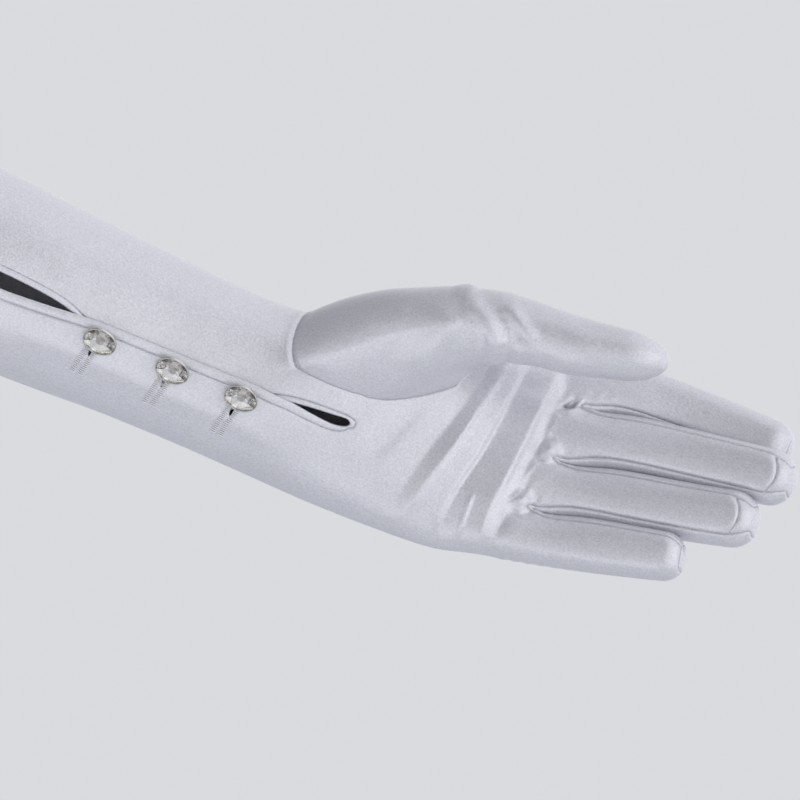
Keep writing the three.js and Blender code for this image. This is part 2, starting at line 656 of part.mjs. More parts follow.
// A piece of cloth: its patches, the same patches one wall further in, and the rim
function clothPiece(name) {
  const patches = net.patches.filter((patch) => patch.piece === name);
  const used = new Map();
  const rim = new Map();
  for (const patch of patches) {
    patch.corners.forEach((index, i) => {
      const next = patch.corners[(i + 1) % 4];
      if (!used.has(index)) used.set(index, { toMiddle: new THREE.Vector3(), edge: false });
      used.get(index).toMiddle.add(patch.middle.clone().sub(net.points[index]));
      const back = `${next}_${index}`;
      if (rim.has(back)) rim.delete(back);
      else rim.set(`${index}_${next}`, [index, next]);
    });
  }
  for (const [a, b] of rim.values()) {
    used.get(a).edge = true;
    used.get(b).edge = true;
  }
  const positions = [];
  const order = new Map();
  for (const [index, entry] of used) {
    const point = net.points[index].clone();
    const normal = normals[index];
    const shift = entry.toMiddle;
    shift.addScaledVector(normal, -shift.dot(normal));
    const ease = crotches.has(index) && name !== 'trank' ? CROTCH_EASE : SEAM_GAP / 2;
    if (entry.edge && shift.length() > 0) point.addScaledVector(shift.normalize(), ease);
    order.set(index, positions.length / 3);
    positions.push(...point.toArray(), ...point.addScaledVector(normal, -WALL).toArray());
  }
  const triangles = [];
  const outer = (index) => order.get(index);
  const inner = (index) => order.get(index) + 1;
  const quad = (a, b, c, d) => triangles.push(a, b, c, a, c, d);
  for (const patch of patches) {
    const [a, b, c, d] = patch.corners;
    quad(outer(a), outer(b), outer(c), outer(d));
    quad(inner(d), inner(c), inner(b), inner(a));
  }
  for (const [a, b] of rim.values()) {
    if (a < b) triangles.push(outer(b), outer(a), inner(b), outer(a), inner(a), inner(b));
    else quad(outer(b), outer(a), inner(a), inner(b));
  }
  const geometry = new THREE.BufferGeometry();
  geometry.setAttribute('position', new THREE.Float32BufferAttribute(positions, 3));
  geometry.setIndex(triangles);
  return geometry;
}

const wasm = await Module();
wasm.setup();

function toSolid(geometry) {
  const plain = geometry.clone();
  plain.deleteAttribute('normal');
  plain.deleteAttribute('uv');
  const merged = mergeVertices(plain, WELD);
  return new wasm.Manifold(new wasm.Mesh({
    numProp: 3,
    vertProperties: merged.attributes.position.array,
    triVerts: Uint32Array.from(merged.index.array),
  }));
}

function toGeometry(solid) {
  const mesh = solid.getMesh();
  const geometry = new THREE.BufferGeometry();
  geometry.setAttribute('position', new THREE.Float32BufferAttribute(mesh.vertProperties, 3));
  geometry.setIndex(Array.from(mesh.triVerts));
  geometry.computeVertexNormals();
  return geometry;
}

const satin = { color: 0xe9eaf2, roughness: 0.38, metalness: 0 };
const settingMetal = { color: 0x8f8c86, roughness: 0.25, metalness: 1 };
const clearStone = { color: 0xf2f5f7, roughness: 0.04, metalness: 0 };

const glove = new THREE.Group();
function addPiece(name, geometry, look) {
  const mesh = new THREE.Mesh(geometry, new THREE.MeshStandardMaterial(look));
  mesh.name = name;
  glove.add(mesh);
}

// Buttons: the face leans down from the cloth, and the shank goes straight into it
const faceLean = rad(BUTTON.tilt);
const faceOut = new THREE.Vector3(0, -Math.cos(faceLean), -Math.sin(faceLean));
const upright = new THREE.Vector3(0, 1, 0);

// The cloth under a button: the inner edge's own surface, and its outward direction
function clothUnder(x, z) {
  const frame = bodyFrame(x);
  const share = (z - frame.centre.z) / frame.half;
  const point = onOval(frame, share, 1);
  const along = onOval(frame, share + WELD, 1).sub(point);
  const out = new THREE.Vector3(0, -along.z, along.y).normalize();
  return { point, out };
}

function latheAt(profile, sides, place, axis) {
  const points = profile.map(([radius, height]) => new THREE.Vector2(radius, height));
  const geometry = new THREE.LatheGeometry(points, sides);
  geometry.applyQuaternion(new THREE.Quaternion().setFromUnitVectors(upright, axis));
  geometry.translate(place.x, place.y, place.z);
  return geometry;
}

function buttonPlace(button) {
  const cloth = clothUnder(button.x, button.z);
  const middle = cloth.point.clone().addScaledVector(faceOut, BUTTON.reach);
  middle.z = button.z;
  return { cloth, middle };
}

function settingGeometry(button) {
  const { middle } = buttonPlace(button);
  const cup = [
    [0, -BUTTON.height / 2],
    [BUTTON.radius * BUTTON.foot, -BUTTON.height / 2],
    [BUTTON.radius, BUTTON.height * BUTTON.waist],
    [BUTTON.radius, BUTTON.height * BUTTON.lip],
    [BUTTON.radius - BUTTON.bezel / 2, BUTTON.height / 2],
    [BUTTON.radius - BUTTON.bezel, BUTTON.height * BUTTON.lip],
    [BUTTON.radius - BUTTON.bezel, 0],
    [BUTTON.radius * BUTTON.bowl, BUTTON.seat - BUTTON.height / 2],
    [0, BUTTON.seat - BUTTON.height / 2],
  ];
  const shankBase = clothUnder(button.x, button.z - SHANK.low);
  const foot = shankBase.point.clone().addScaledVector(shankBase.out, SEAM_GAP);
  const top = middle.clone().addScaledVector(faceOut, SHANK.sunk - BUTTON.height / 2);
  const run = top.clone().sub(foot);
  const rod = [[0, 0], [SHANK.radius, 0], [SHANK.radius, run.length()], [0, run.length()]];
  const cupSolid = toSolid(latheAt(cup, BUTTON.sides, middle, faceOut));
  const shankSolid = toSolid(latheAt(rod, SHANK.sides, foot, run.clone().normalize()));
  return toGeometry(cupSolid.add(shankSolid));
}

// A round cut stone: table, two rings of crown facets, girdle and pavilion
function stoneGeometry(button) {
  const { middle } = buttonPlace(button);
  const radius = BUTTON.radius - BUTTON.bezel - STONE.gap;
  const seatPlace = middle.clone().addScaledVector(faceOut, STONE.seat);
  const rings = [
    { radius: 0, height: -STONE.pavilion, offset: 0 },
    { radius, height: 0, offset: 0 },
    { radius, height: STONE.girdle, offset: 0 },
    { radius: lerp(STONE.table, radius, 0.5), height: STONE.girdle + STONE.crown * STONE.star, offset: 0.5 },
    { radius: STONE.table, height: STONE.girdle + STONE.crown, offset: 0 },
    { radius: 0, height: STONE.girdle + STONE.crown, offset: 0 },
  ];
  const positions = [];
  const point = (ring, i) => {
    const angle = (i + ring.offset) * 2 * Math.PI / (2 * STONE.facets);
    return [ring.radius * Math.cos(angle), ring.height, -ring.radius * Math.sin(angle)];
  };
  for (let r = 0; r < rings.length - 1; r++) {
    const lower = rings[r];
    const upper = rings[r + 1];
    for (let i = 0; i < 2 * STONE.facets; i++) {
      if (lower.radius > 0) positions.push(...point(lower, i), ...point(lower, i + 1), ...point(upper, i));
      if (upper.radius > 0) positions.push(...point(lower, i + 1), ...point(upper, i + 1), ...point(upper, i));
    }
  }
  const geometry = new THREE.BufferGeometry();
  geometry.setAttribute('position', new THREE.Float32BufferAttribute(positions, 3));
  const closed = mergeVertices(geometry, WELD);
  closed.applyQuaternion(new THREE.Quaternion().setFromUnitVectors(upright, faceOut));
  closed.translate(seatPlace.x, seatPlace.y, seatPlace.z);
  return closed;
}

// Buttonholes let the shanks through the outer edge of the opening
function withButtonholes(geometry) {
  let solid = toSolid(geometry);
  for (const button of BUTTONS) {
    const cloth = clothUnder(button.x, button.z - BUTTONHOLE.below);
    const box = new THREE.BoxGeometry(BUTTONHOLE.width, BUTTONHOLE.deep, BUTTONHOLE.length);
    const turn = new THREE.Quaternion().setFromUnitVectors(upright.clone().negate(), cloth.out);
    box.applyQuaternion(turn);
    const middle = cloth.point.clone().addScaledVector(cloth.out, BUTTONHOLE.deep / 2 + BUTTONHOLE.clear);
    box.translate(middle.x, middle.y, middle.z);
    solid = solid.subtract(toSolid(box));
  }
  return toGeometry(solid);
}

addPiece('trank', withButtonholes(clothPiece('trank')), satin);
for (const name of ['thumb', ...FOURCHETTES, 'slit_binding']) addPiece(name, clothPiece(name), satin);
BUTTONS.forEach((button, i) => {
  addPiece(`button_${i + 1}`, settingGeometry(button), settingMetal);
  addPiece(`stone_${i + 1}`, stoneGeometry(button), clearStone);
});

export default glove;
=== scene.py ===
"""Blender scene of a long satin dress glove for the left hand, worn, with a bound wrist opening.

Sizes are in millimetres in the tables and in metres in the meshes. +X runs from the cuff
to the fingertips, +Z to the thumb side, and the palm faces -Y.
"""
from __future__ import annotations

import logging
import math
from dataclasses import dataclass, field, replace
from enum import Enum
from typing import Callable, Iterable, Sequence

import bmesh
import bpy
import numpy as np
from mathutils import Matrix, Vector
from mathutils.bvhtree import BVHTree


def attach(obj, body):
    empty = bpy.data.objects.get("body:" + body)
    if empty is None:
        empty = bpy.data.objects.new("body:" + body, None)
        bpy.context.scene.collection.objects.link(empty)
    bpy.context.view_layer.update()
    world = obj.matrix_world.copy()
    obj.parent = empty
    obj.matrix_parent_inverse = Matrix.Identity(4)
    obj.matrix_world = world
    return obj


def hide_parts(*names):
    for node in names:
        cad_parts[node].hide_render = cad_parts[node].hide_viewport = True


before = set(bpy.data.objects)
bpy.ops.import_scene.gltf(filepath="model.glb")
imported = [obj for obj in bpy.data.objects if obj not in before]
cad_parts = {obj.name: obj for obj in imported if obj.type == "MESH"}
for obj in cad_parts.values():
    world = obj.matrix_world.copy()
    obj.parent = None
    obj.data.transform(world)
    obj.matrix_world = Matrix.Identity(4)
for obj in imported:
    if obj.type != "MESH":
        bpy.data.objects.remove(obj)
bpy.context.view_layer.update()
log = logging.getLogger("glove")

Pair = tuple[float, float]
Triple = tuple[float, float, float]
Array = np.ndarray
Piece = bpy.types.Object
Material = bpy.types.Material
Socket = bpy.types.NodeSocket

MM = 0.001
UP = Vector((0, 0, 1))
FAR = 1e9
TINY = 1e-9

# Levels of a face's direction: a cup's flat faces lie over the first, a stone's underside below
# the second with its sign turned.
FLAT = 0.9
TILTED = 0.1

# How far before the palm a look onto the cloth starts, in millimetres.
BEFORE = 120

# Columns of cloth round the hand: the palm, the thumb's side, the back, the little finger's side.
FINGERS = 4
PANEL = 4
SIDE = 3
PALM = FINGERS * PANEL
RADIAL_CORNER = PALM
BACK_START = PALM + SIDE
ULNAR_CORNER = BACK_START + PALM
AROUND = ULNAR_CORNER + SIDE
SLIT_COLUMN = PALM // 2

# Steps of the net: each column is split, and the counts below are of split columns.
SPLIT = 2
FINE_PANEL = PANEL * SPLIT
FINE_SIDE = SIDE * SPLIT
FINE_AROUND = AROUND * SPLIT


class Cloth(Enum):
    """The cloth pieces, by the name of the solid that each stands for."""

    TRANK = "trank"
    THUMB = "thumb"
    RING_LITTLE = "fourchette_ring_little"
    MIDDLE_RING = "fourchette_middle_ring"
    INDEX_MIDDLE = "fourchette_index_middle"
    BINDING = "slit_binding"

    @property
    def label(self) -> int:
        """Number that the piece's patches carry in the net."""
        return list(Cloth).index(self)


FOURCHETTES = (Cloth.RING_LITTLE, Cloth.MIDDLE_RING, Cloth.INDEX_MIDDLE)


def smooth(share: float) -> float:
    """Ease a share from 0 to 1.

    Args:
        share: Any number; it is held between 0 and 1.

    Returns:
        The eased share.
    """
    held = min(max(share, 0.0), 1.0)
    return held * held * (3 - 2 * held)


def mix(a: float, b: float, share: float) -> float:
    """Return the number at a share of the way from a to b."""
    return a + (b - a) * share


def curve(start: Vector, end: Vector, leave: Vector, arrive: Vector, share: float) -> Vector:
    """Read a cubic curve between two vectors, or between two numbers.

    Args:
        start: Where it starts.
        end: Where it ends.
        leave: Its slope at the start.
        arrive: Its slope at the end.
        share: Share of the way.

    Returns:
        The vector or number there.
    """
    s2 = share * share
    s3 = s2 * share
    return (
        start * (2 * s3 - 3 * s2 + 1)
        + leave * (s3 - 2 * s2 + share)
        + end * (3 * s2 - 2 * s3)
        + arrive * (s3 - s2)
    )


def rounded(a: float, b: float, corner: float = 0.5, keep: float = 0.0) -> Pair:
    """Draw a place from a square to an oval, less and less from once to twice the square's size.

    Args:
        a: Place along the first axis, where the square runs from -1 to 1.
        b: Place along the second.
        corner: How far the corners are drawn in; 0.5 makes an oval.
        keep: Least share of the place that is kept as it was.

    Returns:
        The drawn place.
    """
    far = max(abs(a), abs(b))
    keep = max(smooth(far - 1), keep)
    round_a = a * math.sqrt(1 - (b / far) ** 2 * corner)
    round_b = b * math.sqrt(1 - (a / far) ** 2 * corner)
    return mix(round_a, a, keep), mix(round_b, b, keep)


@dataclass(frozen=True)
class Table:
    """Rows of numbers by their place along the glove, read by a smooth curve.

    Attributes:
        columns: Names of the columns after the first, which is the place.
        rows: The rows, in order of their place.
    """

    columns: str
    rows: tuple[tuple[float, ...], ...]

    def read(self, column: str, x: float) -> float:
        """Read a column at a place.

        Args:
            column: Name of the column.
            x: Place along the glove in millimetres.

        Returns:
            The value, on a Catmull-Rom curve through the rows.
        """
        c = self.columns.split().index(column) + 1
        rows, last = self.rows, len(self.rows) - 1
        i = 0
        while i < last - 1 and x > rows[i + 1][0]:
            i += 1
        before, a, b, after = rows[max(i - 1, 0)], rows[i], rows[i + 1], rows[min(i + 2, last)]
        span = b[0] - a[0]
        leave = (b[c] - before[c]) / (b[0] - before[0]) * span
        arrive = (after[c] - a[c]) / (after[0] - a[0]) * span
        return curve(a[c], b[c], leave, arrive, min(max((x - a[0]) / span, 0.0), 1.0))

    def row(self, x: float) -> list[float]:
        """Read every column at a place."""
        return [self.read(column, x) for column in self.columns.split()]


@dataclass(frozen=True)
class Oval:
    """A squared oval section of the hand or of a finger.

    Attributes:
        centre: Its middle.
        across: Direction from the little finger's side to the thumb's side.
        out: Direction out of the palm.
        half: Half its width.
        thick: Half its thickness.
        square: How square it is; 2 is an ellipse.
        along: Direction along the finger.
        length: Length of the finger's centre line.
    """

    centre: Vector
    across: Vector
    out: Vector
    half: float
    thick: float
    square: float
    along: Vector = field(default_factory=lambda: Vector((1, 0, 0)))
    length: float = 0.0

    def on_face(self, share: float, face: int) -> Vector:
        """Return the point at a share across (-1 to 1) on the palm face (1) or back face (-1)."""
        away = self.thick * max(1 - abs(share) ** self.square, 0.0) ** (1 / self.square)
        return self.centre + self.across * (self.half * share) + self.out * (face * away)

    def on_side(self, side: int, edge: float, step: float) -> Vector:
        """Return the point at a step from the palm's corner (0) to the back's (1) on one side."""
        corner = (1 - edge**self.square) ** (1 / self.square)
        height = mix(corner, -corner, step)
        reach = side * self.half * (1 - abs(height) ** self.square) ** (1 / self.square)
        return self.centre + self.across * reach + self.out * (height * self.thick)

    def at_column(self, column: float, edge: float) -> Vector:
        """Return the point of a column of the back or a side, which start at the edge."""
        if RADIAL_CORNER < column < BACK_START:
            return self.on_side(1, edge, (column - RADIAL_CORNER) / SIDE)
        if column > ULNAR_CORNER:
            return self.on_side(-1, edge, 1 - (column - ULNAR_CORNER) / SIDE)
        return self.on_face(mix(edge, -edge, (column - BACK_START) / PALM), -1)

    def share_at(self, z: float) -> float:
        """Return the share across at a level z."""
        return (z - self.centre.z) / self.half

    def rounded(self, reach: float, angle: float) -> "Oval":
        """Return the section at an angle (degrees) round the rounded tip of a finger."""
        scale = math.cos(math.radians(angle))
        centre = self.centre + self.along * (reach * math.sin(math.radians(angle)))
        return replace(self, centre=centre, half=self.half * scale, thick=self.thick * scale)


@dataclass(frozen=True)
class ArmForm:
    """The sleeve and the hand up to the crotches of the fingers.

    Attributes:
        sections: Low and high edge seen from the palm side, thickness, depth, roll, squareness.
        opening: Edges of the wrist opening, the lift of the outer edge over the inner one, and
            the bound edge's width on the outer and on the inner side.
        edge: Where the palm panel turns into the side, as a share of the half width.
        cap: Length of the bound edge beyond the opening's ends.
        slit: Where the opening starts and ends.
        fade: Where the palm's columns begin to follow the opening, follow it in full, and end.
        lift_full: Level down to which the outer edge's lift holds in full.
        lift_none: Level at which the lift has faded out.
    """

    sections: Table = Table(
        "low high thick depth roll square",
        (
            (0, -40, 40, 74, 0, 0, 2.05),
            (95, -36, 36.5, 66, 0, 0, 2.05),
            (190, -31.7, 31.7, 56, 0, 0, 2.1),
            (245, -29, 28.9, 48, 0, 0, 2.15),
            (288, -28.8, 29, 42, 0, 1, 2.2),
            (316, -28.8, 36, 36, 0.5, 6, 2.25),
            (342, -27.6, 47, 31, 1, 12, 2.3),
            (360, -25.6, 53, 28, 1.9, 16, 2.4),
            (378, -21, 56.5, 24, 2.3, 18, 2.6),
        ),
    )
    opening: Table = Table(
        "outer inner lift bound facing",
        (
            (168, -1.6, -1.6, 0, 1.3, 1.0),
            (180, -3.9, 0.6, 0, 3.1, 2.0),
            (192, -4.3, 0.8, 0, 3.3, 2.0),
            (205, -3.4, 0.1, 0.4, 3.3, 2.0),
            (215, -2.4, -1.2, 1.0, 3.3, 2.0),
            (222, -1.6, -4, 1.25, 3.3, 2.0),
            (232, -1.1, -11, 1.25, 3.3, 2.0),
            (245, -0.8, -13, 1.25, 3.3, 2.0),
            (270, -0.4, -13, 1.25, 3.3, 2.0),
            (281, -0.1, -9.5, 1.25, 3.3, 2.0),
            (288, -0.7, -3.4, 1.15, 3.2, 2.0),
            (294.5, -1, -1.3, 0.8, 3.0, 1.8),
            (302.5, -2.3, -0.5, 0.3, 2.6, 1.5),
            (309.5, -3.1, -0.25, 0, 2.1, 1.15),
            (313.5, -2.75, 0, 0, 1.6, 0.8),
            (315.3, -2.1, -0.35, 0, 1.2, 1.0),
            (316, -1.2, -1.2, 0, 1.0, 1.5),
        ),
    )
    edge: float = 0.9
    cap: float = 1.0
    slit: Pair = (168, 316)
    fade: Triple = (130, 166, 356)
    lift_full: float = -14
    lift_none: float = -20

    def oval(self, x: float) -> Oval:
        """Return the section at a place along the glove."""
        low, high, thick, depth, roll, square = self.sections.row(x)
        roll = math.radians(roll)
        return Oval(
            centre=Vector((x, depth, (low + high) / 2)),
            across=Vector((0, math.sin(roll), math.cos(roll))),
            out=Vector((0, -math.cos(roll), math.sin(roll))),
            half=(high - low) / 2 / math.cos(roll),
            thick=thick / 2,
            square=square,
        )

    def across_palm(
        self, x: float, column: float, oval: Oval, outer: float, inner: float
    ) -> float:
        """Return where a column of the palm lies across the hand, from -1 to 1.

        Args:
            x: Place along the glove.
            column: Column of cloth, which may lie between two.
            oval: The section at x.
            outer: Level of the opening's outer edge.
            inner: Level of the opening's inner edge.

        Returns:
            The share across the section.
        """
        even = mix(-self.edge, self.edge, column / PALM)
        start, full, end = self.fade
        slit_end = self.slit[1]
        share = smooth((x - start) / (full - start)) * (
            1 - smooth((x - slit_end) / (end - slit_end))
        )
        if share == 0:
            return even

        def level(z: float) -> float:
            return oval.share_at(z) / oval.across.z

        bound, facing = self.opening.read("bound", x), self.opening.read("facing", x)
        beside = column - SLIT_COLUMN
        if beside <= -1:
            own = mix(-self.edge, level(outer - bound), column / (SLIT_COLUMN - 1))
        elif beside < 0:
            own = level(outer + bound * beside)
        elif beside <= 1:
            own = level(inner + facing * beside)
        else:
            own = mix(level(inner + facing), self.edge, (beside - 1) / (PALM - SLIT_COLUMN - 1))
        return mix(even, own, share)

    def round_end(self, x: float, column: float) -> Pair:
        """Draw the bound edge's ends, beyond the opening, from a square to a half round.

        Args:
            x: Place along the glove.
            column: Column of cloth.

        Returns:
            The drawn place and column.
        """
        for end, side in zip(self.slit, (-1, 1)):
            a, b = (x - end) * side / self.cap, column - SLIT_COLUMN
            if a > 0 and max(a, abs(b)) < 2:
                a, b = rounded(a, b)
                return end + side * self.cap * a, SLIT_COLUMN + b
        return x, column

    def point(self, x: float, column: float, inner_edge: bool) -> Vector:
        """Return a point of the sleeve and hand.

        Args:
            x: Place along the glove.
            column: Column of cloth round it.
            inner_edge: Whether the point is on the opening's inner edge.

        Returns:
            The point in millimetres.
        """
        oval = self.oval(x)
        u = column % AROUND
        if u > RADIAL_CORNER:
            return oval.at_column(u, self.edge)
        start, end = self.slit
        at = min(max(x, start), end)
        outer = self.opening.read("outer", at)
        outer_edge = u == SLIT_COLUMN and not inner_edge
        inner = outer if outer_edge else self.opening.read("inner", at)
        spot = oval.on_face(self.across_palm(x, u, oval, outer, inner), 1)
        if (u < SLIT_COLUMN or outer_edge) and start < x < end:
            reach = smooth((spot.z - self.lift_none) / (self.lift_full - self.lift_none))
            spot += oval.out * (self.opening.read("lift", at) * reach)
        return spot


@dataclass(frozen=True)
class Finger:
    """One finger, as a tube along a curve through three points.

    Attributes:
        base: Centre of the finger at its crotches.
        middle: Centre at mid length.
        tip: End of the centre line.
        width: Half width at the base and before the tip.
        thick: Half thickness at the base and before the tip.
        arc: Which ring of the tip carries the seam where the palm panel ends.
        roll: Roll of the palm panel in degrees at the base and at the tip.
        roll_ease: Power by which the roll follows the length.
        square: How square the section is.
        panel: Width of the palm panel as a share of the half width.
    """

    base: Triple
    middle: Triple
    tip: Triple
    width: Pair
    thick: Pair
    arc: int = 1
    roll: Pair = (19, 7)
    roll_ease: float = 0.6
    square: float = 2.8
    panel: float = 0.72

    def oval(self, share: float) -> Oval:
        """Return the section at a share of the length; below 0 the tube runs on backward."""
        base, middle, tip = Vector(self.base), Vector(self.middle), Vector(self.tip)
        handle = middle * 2 - base * 0.5 - tip * 0.5
        at = max(share, 0.0)
        along = ((handle - base) * (2 * (1 - at)) + (tip - handle) * (2 * at)).normalized()
        roll = math.radians(mix(*self.roll, at**self.roll_ease))
        across = Vector((0, math.sin(roll), math.cos(roll)))
        across = (across - along * across.dot(along)).normalized()
        out = along.cross(across).normalized()
        if out.y > 0:
            out.negate()

        def centre(t: float) -> Vector:
            return base * (1 - t) ** 2 + handle * (2 * t * (1 - t)) + tip * t**2

        steps = 40
        line = [centre(i / steps) for i in range(steps + 1)]
        length = sum((b - a).length for a, b in zip(line, line[1:]))
        return Oval(
            centre=centre(at) + along * (min(share, 0.0) * length),
            across=across,
            out=out,
            half=mix(*self.width, at),
            thick=mix(*self.thick, at),
            square=self.square,
            along=along,
            length=length,
        )

    def point(self, oval: Oval, face: int, share: float) -> Vector:
        """Return the point at a share (0 to 1) across the palm panel (1) or back panel (-1)."""
        return oval.on_face(mix(-self.panel, self.panel, share), face)

    def ring(self, oval: Oval) -> list[Vector]:
        """Return the points round a section: palm panel, thumb side, back panel, other side."""
        across = [i / FINE_PANEL for i in range(FINE_PANEL + 1)]
        down = [i / FINE_SIDE for i in range(1, FINE_SIDE)]
        spots = [self.point(oval, 1, share) for share in across]
        spots += [oval.on_side(1, self.panel, step) for step in down]
        spots += [self.point(oval, -1, 1 - share) for share in across]
        spots += [oval.on_side(-1, self.panel, 1 - step) for step in down]
        return spots


HAND_FINGERS = (
    Finger((376, -9.5, -10.5), (404, -14, -4.5), (436, -23, 4.4), (10.3, 7.9), (8.4, 6.8), 4),
    Finger((378, -3.4, 8.4), (415, -9, 15), (453, -21, 25), (10.2, 9.4), (8.6, 7.3)),
    Finger((379.5, 2.9, 26.6), (418, -3, 34), (459.5, -15, 41.6), (10.3, 9.3), (8.8, 7.4)),
    Finger((380, 10.2, 45.9), (418, 7.5, 48.9), (454.5, 1, 50.4), (10.0, 8.1), (8.8, 7.2), 4),
)


@dataclass(frozen=True)
class ThumbSection:
    """A section of the thumb: its centre, how far it has turned, and its half sizes."""

    centre: Triple
    turn: float
    long: float
    short: float


@dataclass(frozen=True)
class ThumbForm:
    """The thumb from the ball to the tip.

    Attributes:
        sections: Sections from the knuckle to the last before the tip.
        tip: End of the thumb.
        mouth: Which way the oval seam faces.
        aim: Which way the knuckle points.
        rows: Rows of the ball, from the seam to the knuckle.
        steps: Rows from one section to the next.
        swell: How far the ball swells off the hand at the seam, on the palm and on the side.
        toward: How straight it leaves the seam.
        into: How straight it runs into the knuckle.
    """

    sections: tuple[ThumbSection, ...] = (
        ThumbSection((350, -26.2, 49.8), 80, 12, 12),
        ThumbSection((362, -29, 52.4), 87, 10.2, 10.5),
        ThumbSection((374, -31.2, 53.8), 90, 9.6, 10.3),
        ThumbSection((387, -33.2, 56.8), 90, 8.8, 8.7),
    )
    tip: Triple = (403.5, -35.5, 60)
    mouth: Vector = field(default_factory=lambda: Vector((-0.07, -0.61, 0.8)).normalized())
    aim: Vector = field(default_factory=lambda: Vector((0.97, -0.14, 0.2)).normalized())
    rows: int = 12
    steps: int = 3
    swell: Pair = (0.2, 0.45)
    toward: float = 0.65
    into: float = 0.9

    @property
    def hinge(self) -> Vector:
        """Direction across the oval seam."""
        return self.mouth.cross(self.aim).normalized()

    @property
    def seam_long(self) -> Vector:
        """Direction along the oval seam."""
        return self.hinge.cross(self.mouth).normalized()

    def spot(self, section: ThumbSection, angle: float) -> Vector:
        """Return a point of a section at an angle in radians."""
        turn = math.radians(section.turn)
        long = self.seam_long * math.cos(turn) - self.mouth * math.sin(turn)
        return (
            Vector(section.centre)
            + long * (math.cos(angle) * section.long)
            + self.hinge * (math.sin(angle) * section.short)
        )

    def tip_section(self, angle: float) -> ThumbSection:
        """Return the section at an angle (degrees) round the rounded tip."""
        last = self.sections[-1]
        centre, scale = Vector(last.centre), math.cos(math.radians(angle))
        centre += (Vector(self.tip) - centre) * math.sin(math.radians(angle))
        return ThumbSection(tuple(centre), last.turn, last.long * scale, last.short * scale)

    def beyond_knuckle(self, tip_angles: Iterable[float]) -> Iterable[ThumbSection]:
        """Yield sections between the thumb's own ones, then those at angles round the tip."""
        rows = tuple(
            (float(i), *section.centre, section.turn, section.long, section.short)
            for i, section in enumerate(self.sections)
        )
        table = Table("x y z turn long short", rows)
        for i in range(1, (len(rows) - 1) * self.steps + 1):
            x, y, z, turn, long, short = table.row(i / self.steps)
            yield ThumbSection((x, y, z), turn, long, short)
        yield from map(self.tip_section, tip_angles)

    def ball(self, seam: Vector, knuckle: Vector, away: Vector, share: float) -> Vector:
        """Return a point of the ball of the thumb.

        Args:
            seam: Where the line starts on the oval seam.
            knuckle: Where it ends on the knuckle's section.
            away: Direction off the hand at the seam.
            share: Share of the way.

        Returns:
            The point on a cubic curve between the two.
        """
        direct = knuckle - seam
        off = direct.length * mix(*self.swell, smooth(away.z))
        arrive = self.aim * (direct.length * self.into)
        return curve(seam, knuckle, direct * self.toward + away * off, arrive, share)


@dataclass(frozen=True)
class ThumbHole:
    """The thumb hole, as a span of length and a span of columns.

    Attributes:
        start: Where it starts along the glove.
        end: Where it ends.
        first: Its first column.
        last: Its last column.
        corner: How far its corners are drawn in; 0.5 makes an oval.
        palm_corner: The same on the palm side, where the seam is fuller.
    """

    start: float = 287
    end: float = 347.5
    first: float = PALM - 5
    last: float = PALM + SIDE + 1
    corner: float = 0.5
    palm_corner: float = 0.3

    def warp(self, x: float, column: float) -> Pair:
        """Draw the net near the hole from a rectangle to an oval.

        Args:
            x: Place along the glove.
            column: Column of cloth.

        Returns:
            The drawn place and column.
        """
        mid_x, mid_c = (self.start + self.end) / 2, (self.first + self.last) / 2
        half_x, half_c = (self.end - self.start) / 2, (self.last - self.first) / 2
        a, b = (x - mid_x) / half_x, (column - mid_c) / half_c
        if max(abs(a), abs(b)) >= 2 or a == b == 0:
            return x, column
        corner = self.corner if b > 0 else self.palm_corner
        beside_slit = (self.first - column) / (self.first - SLIT_COLUMN - 1)
        a, b = rounded(a, b, corner, smooth(beside_slit))
        return mid_x + half_x * a, mid_c + half_c * b


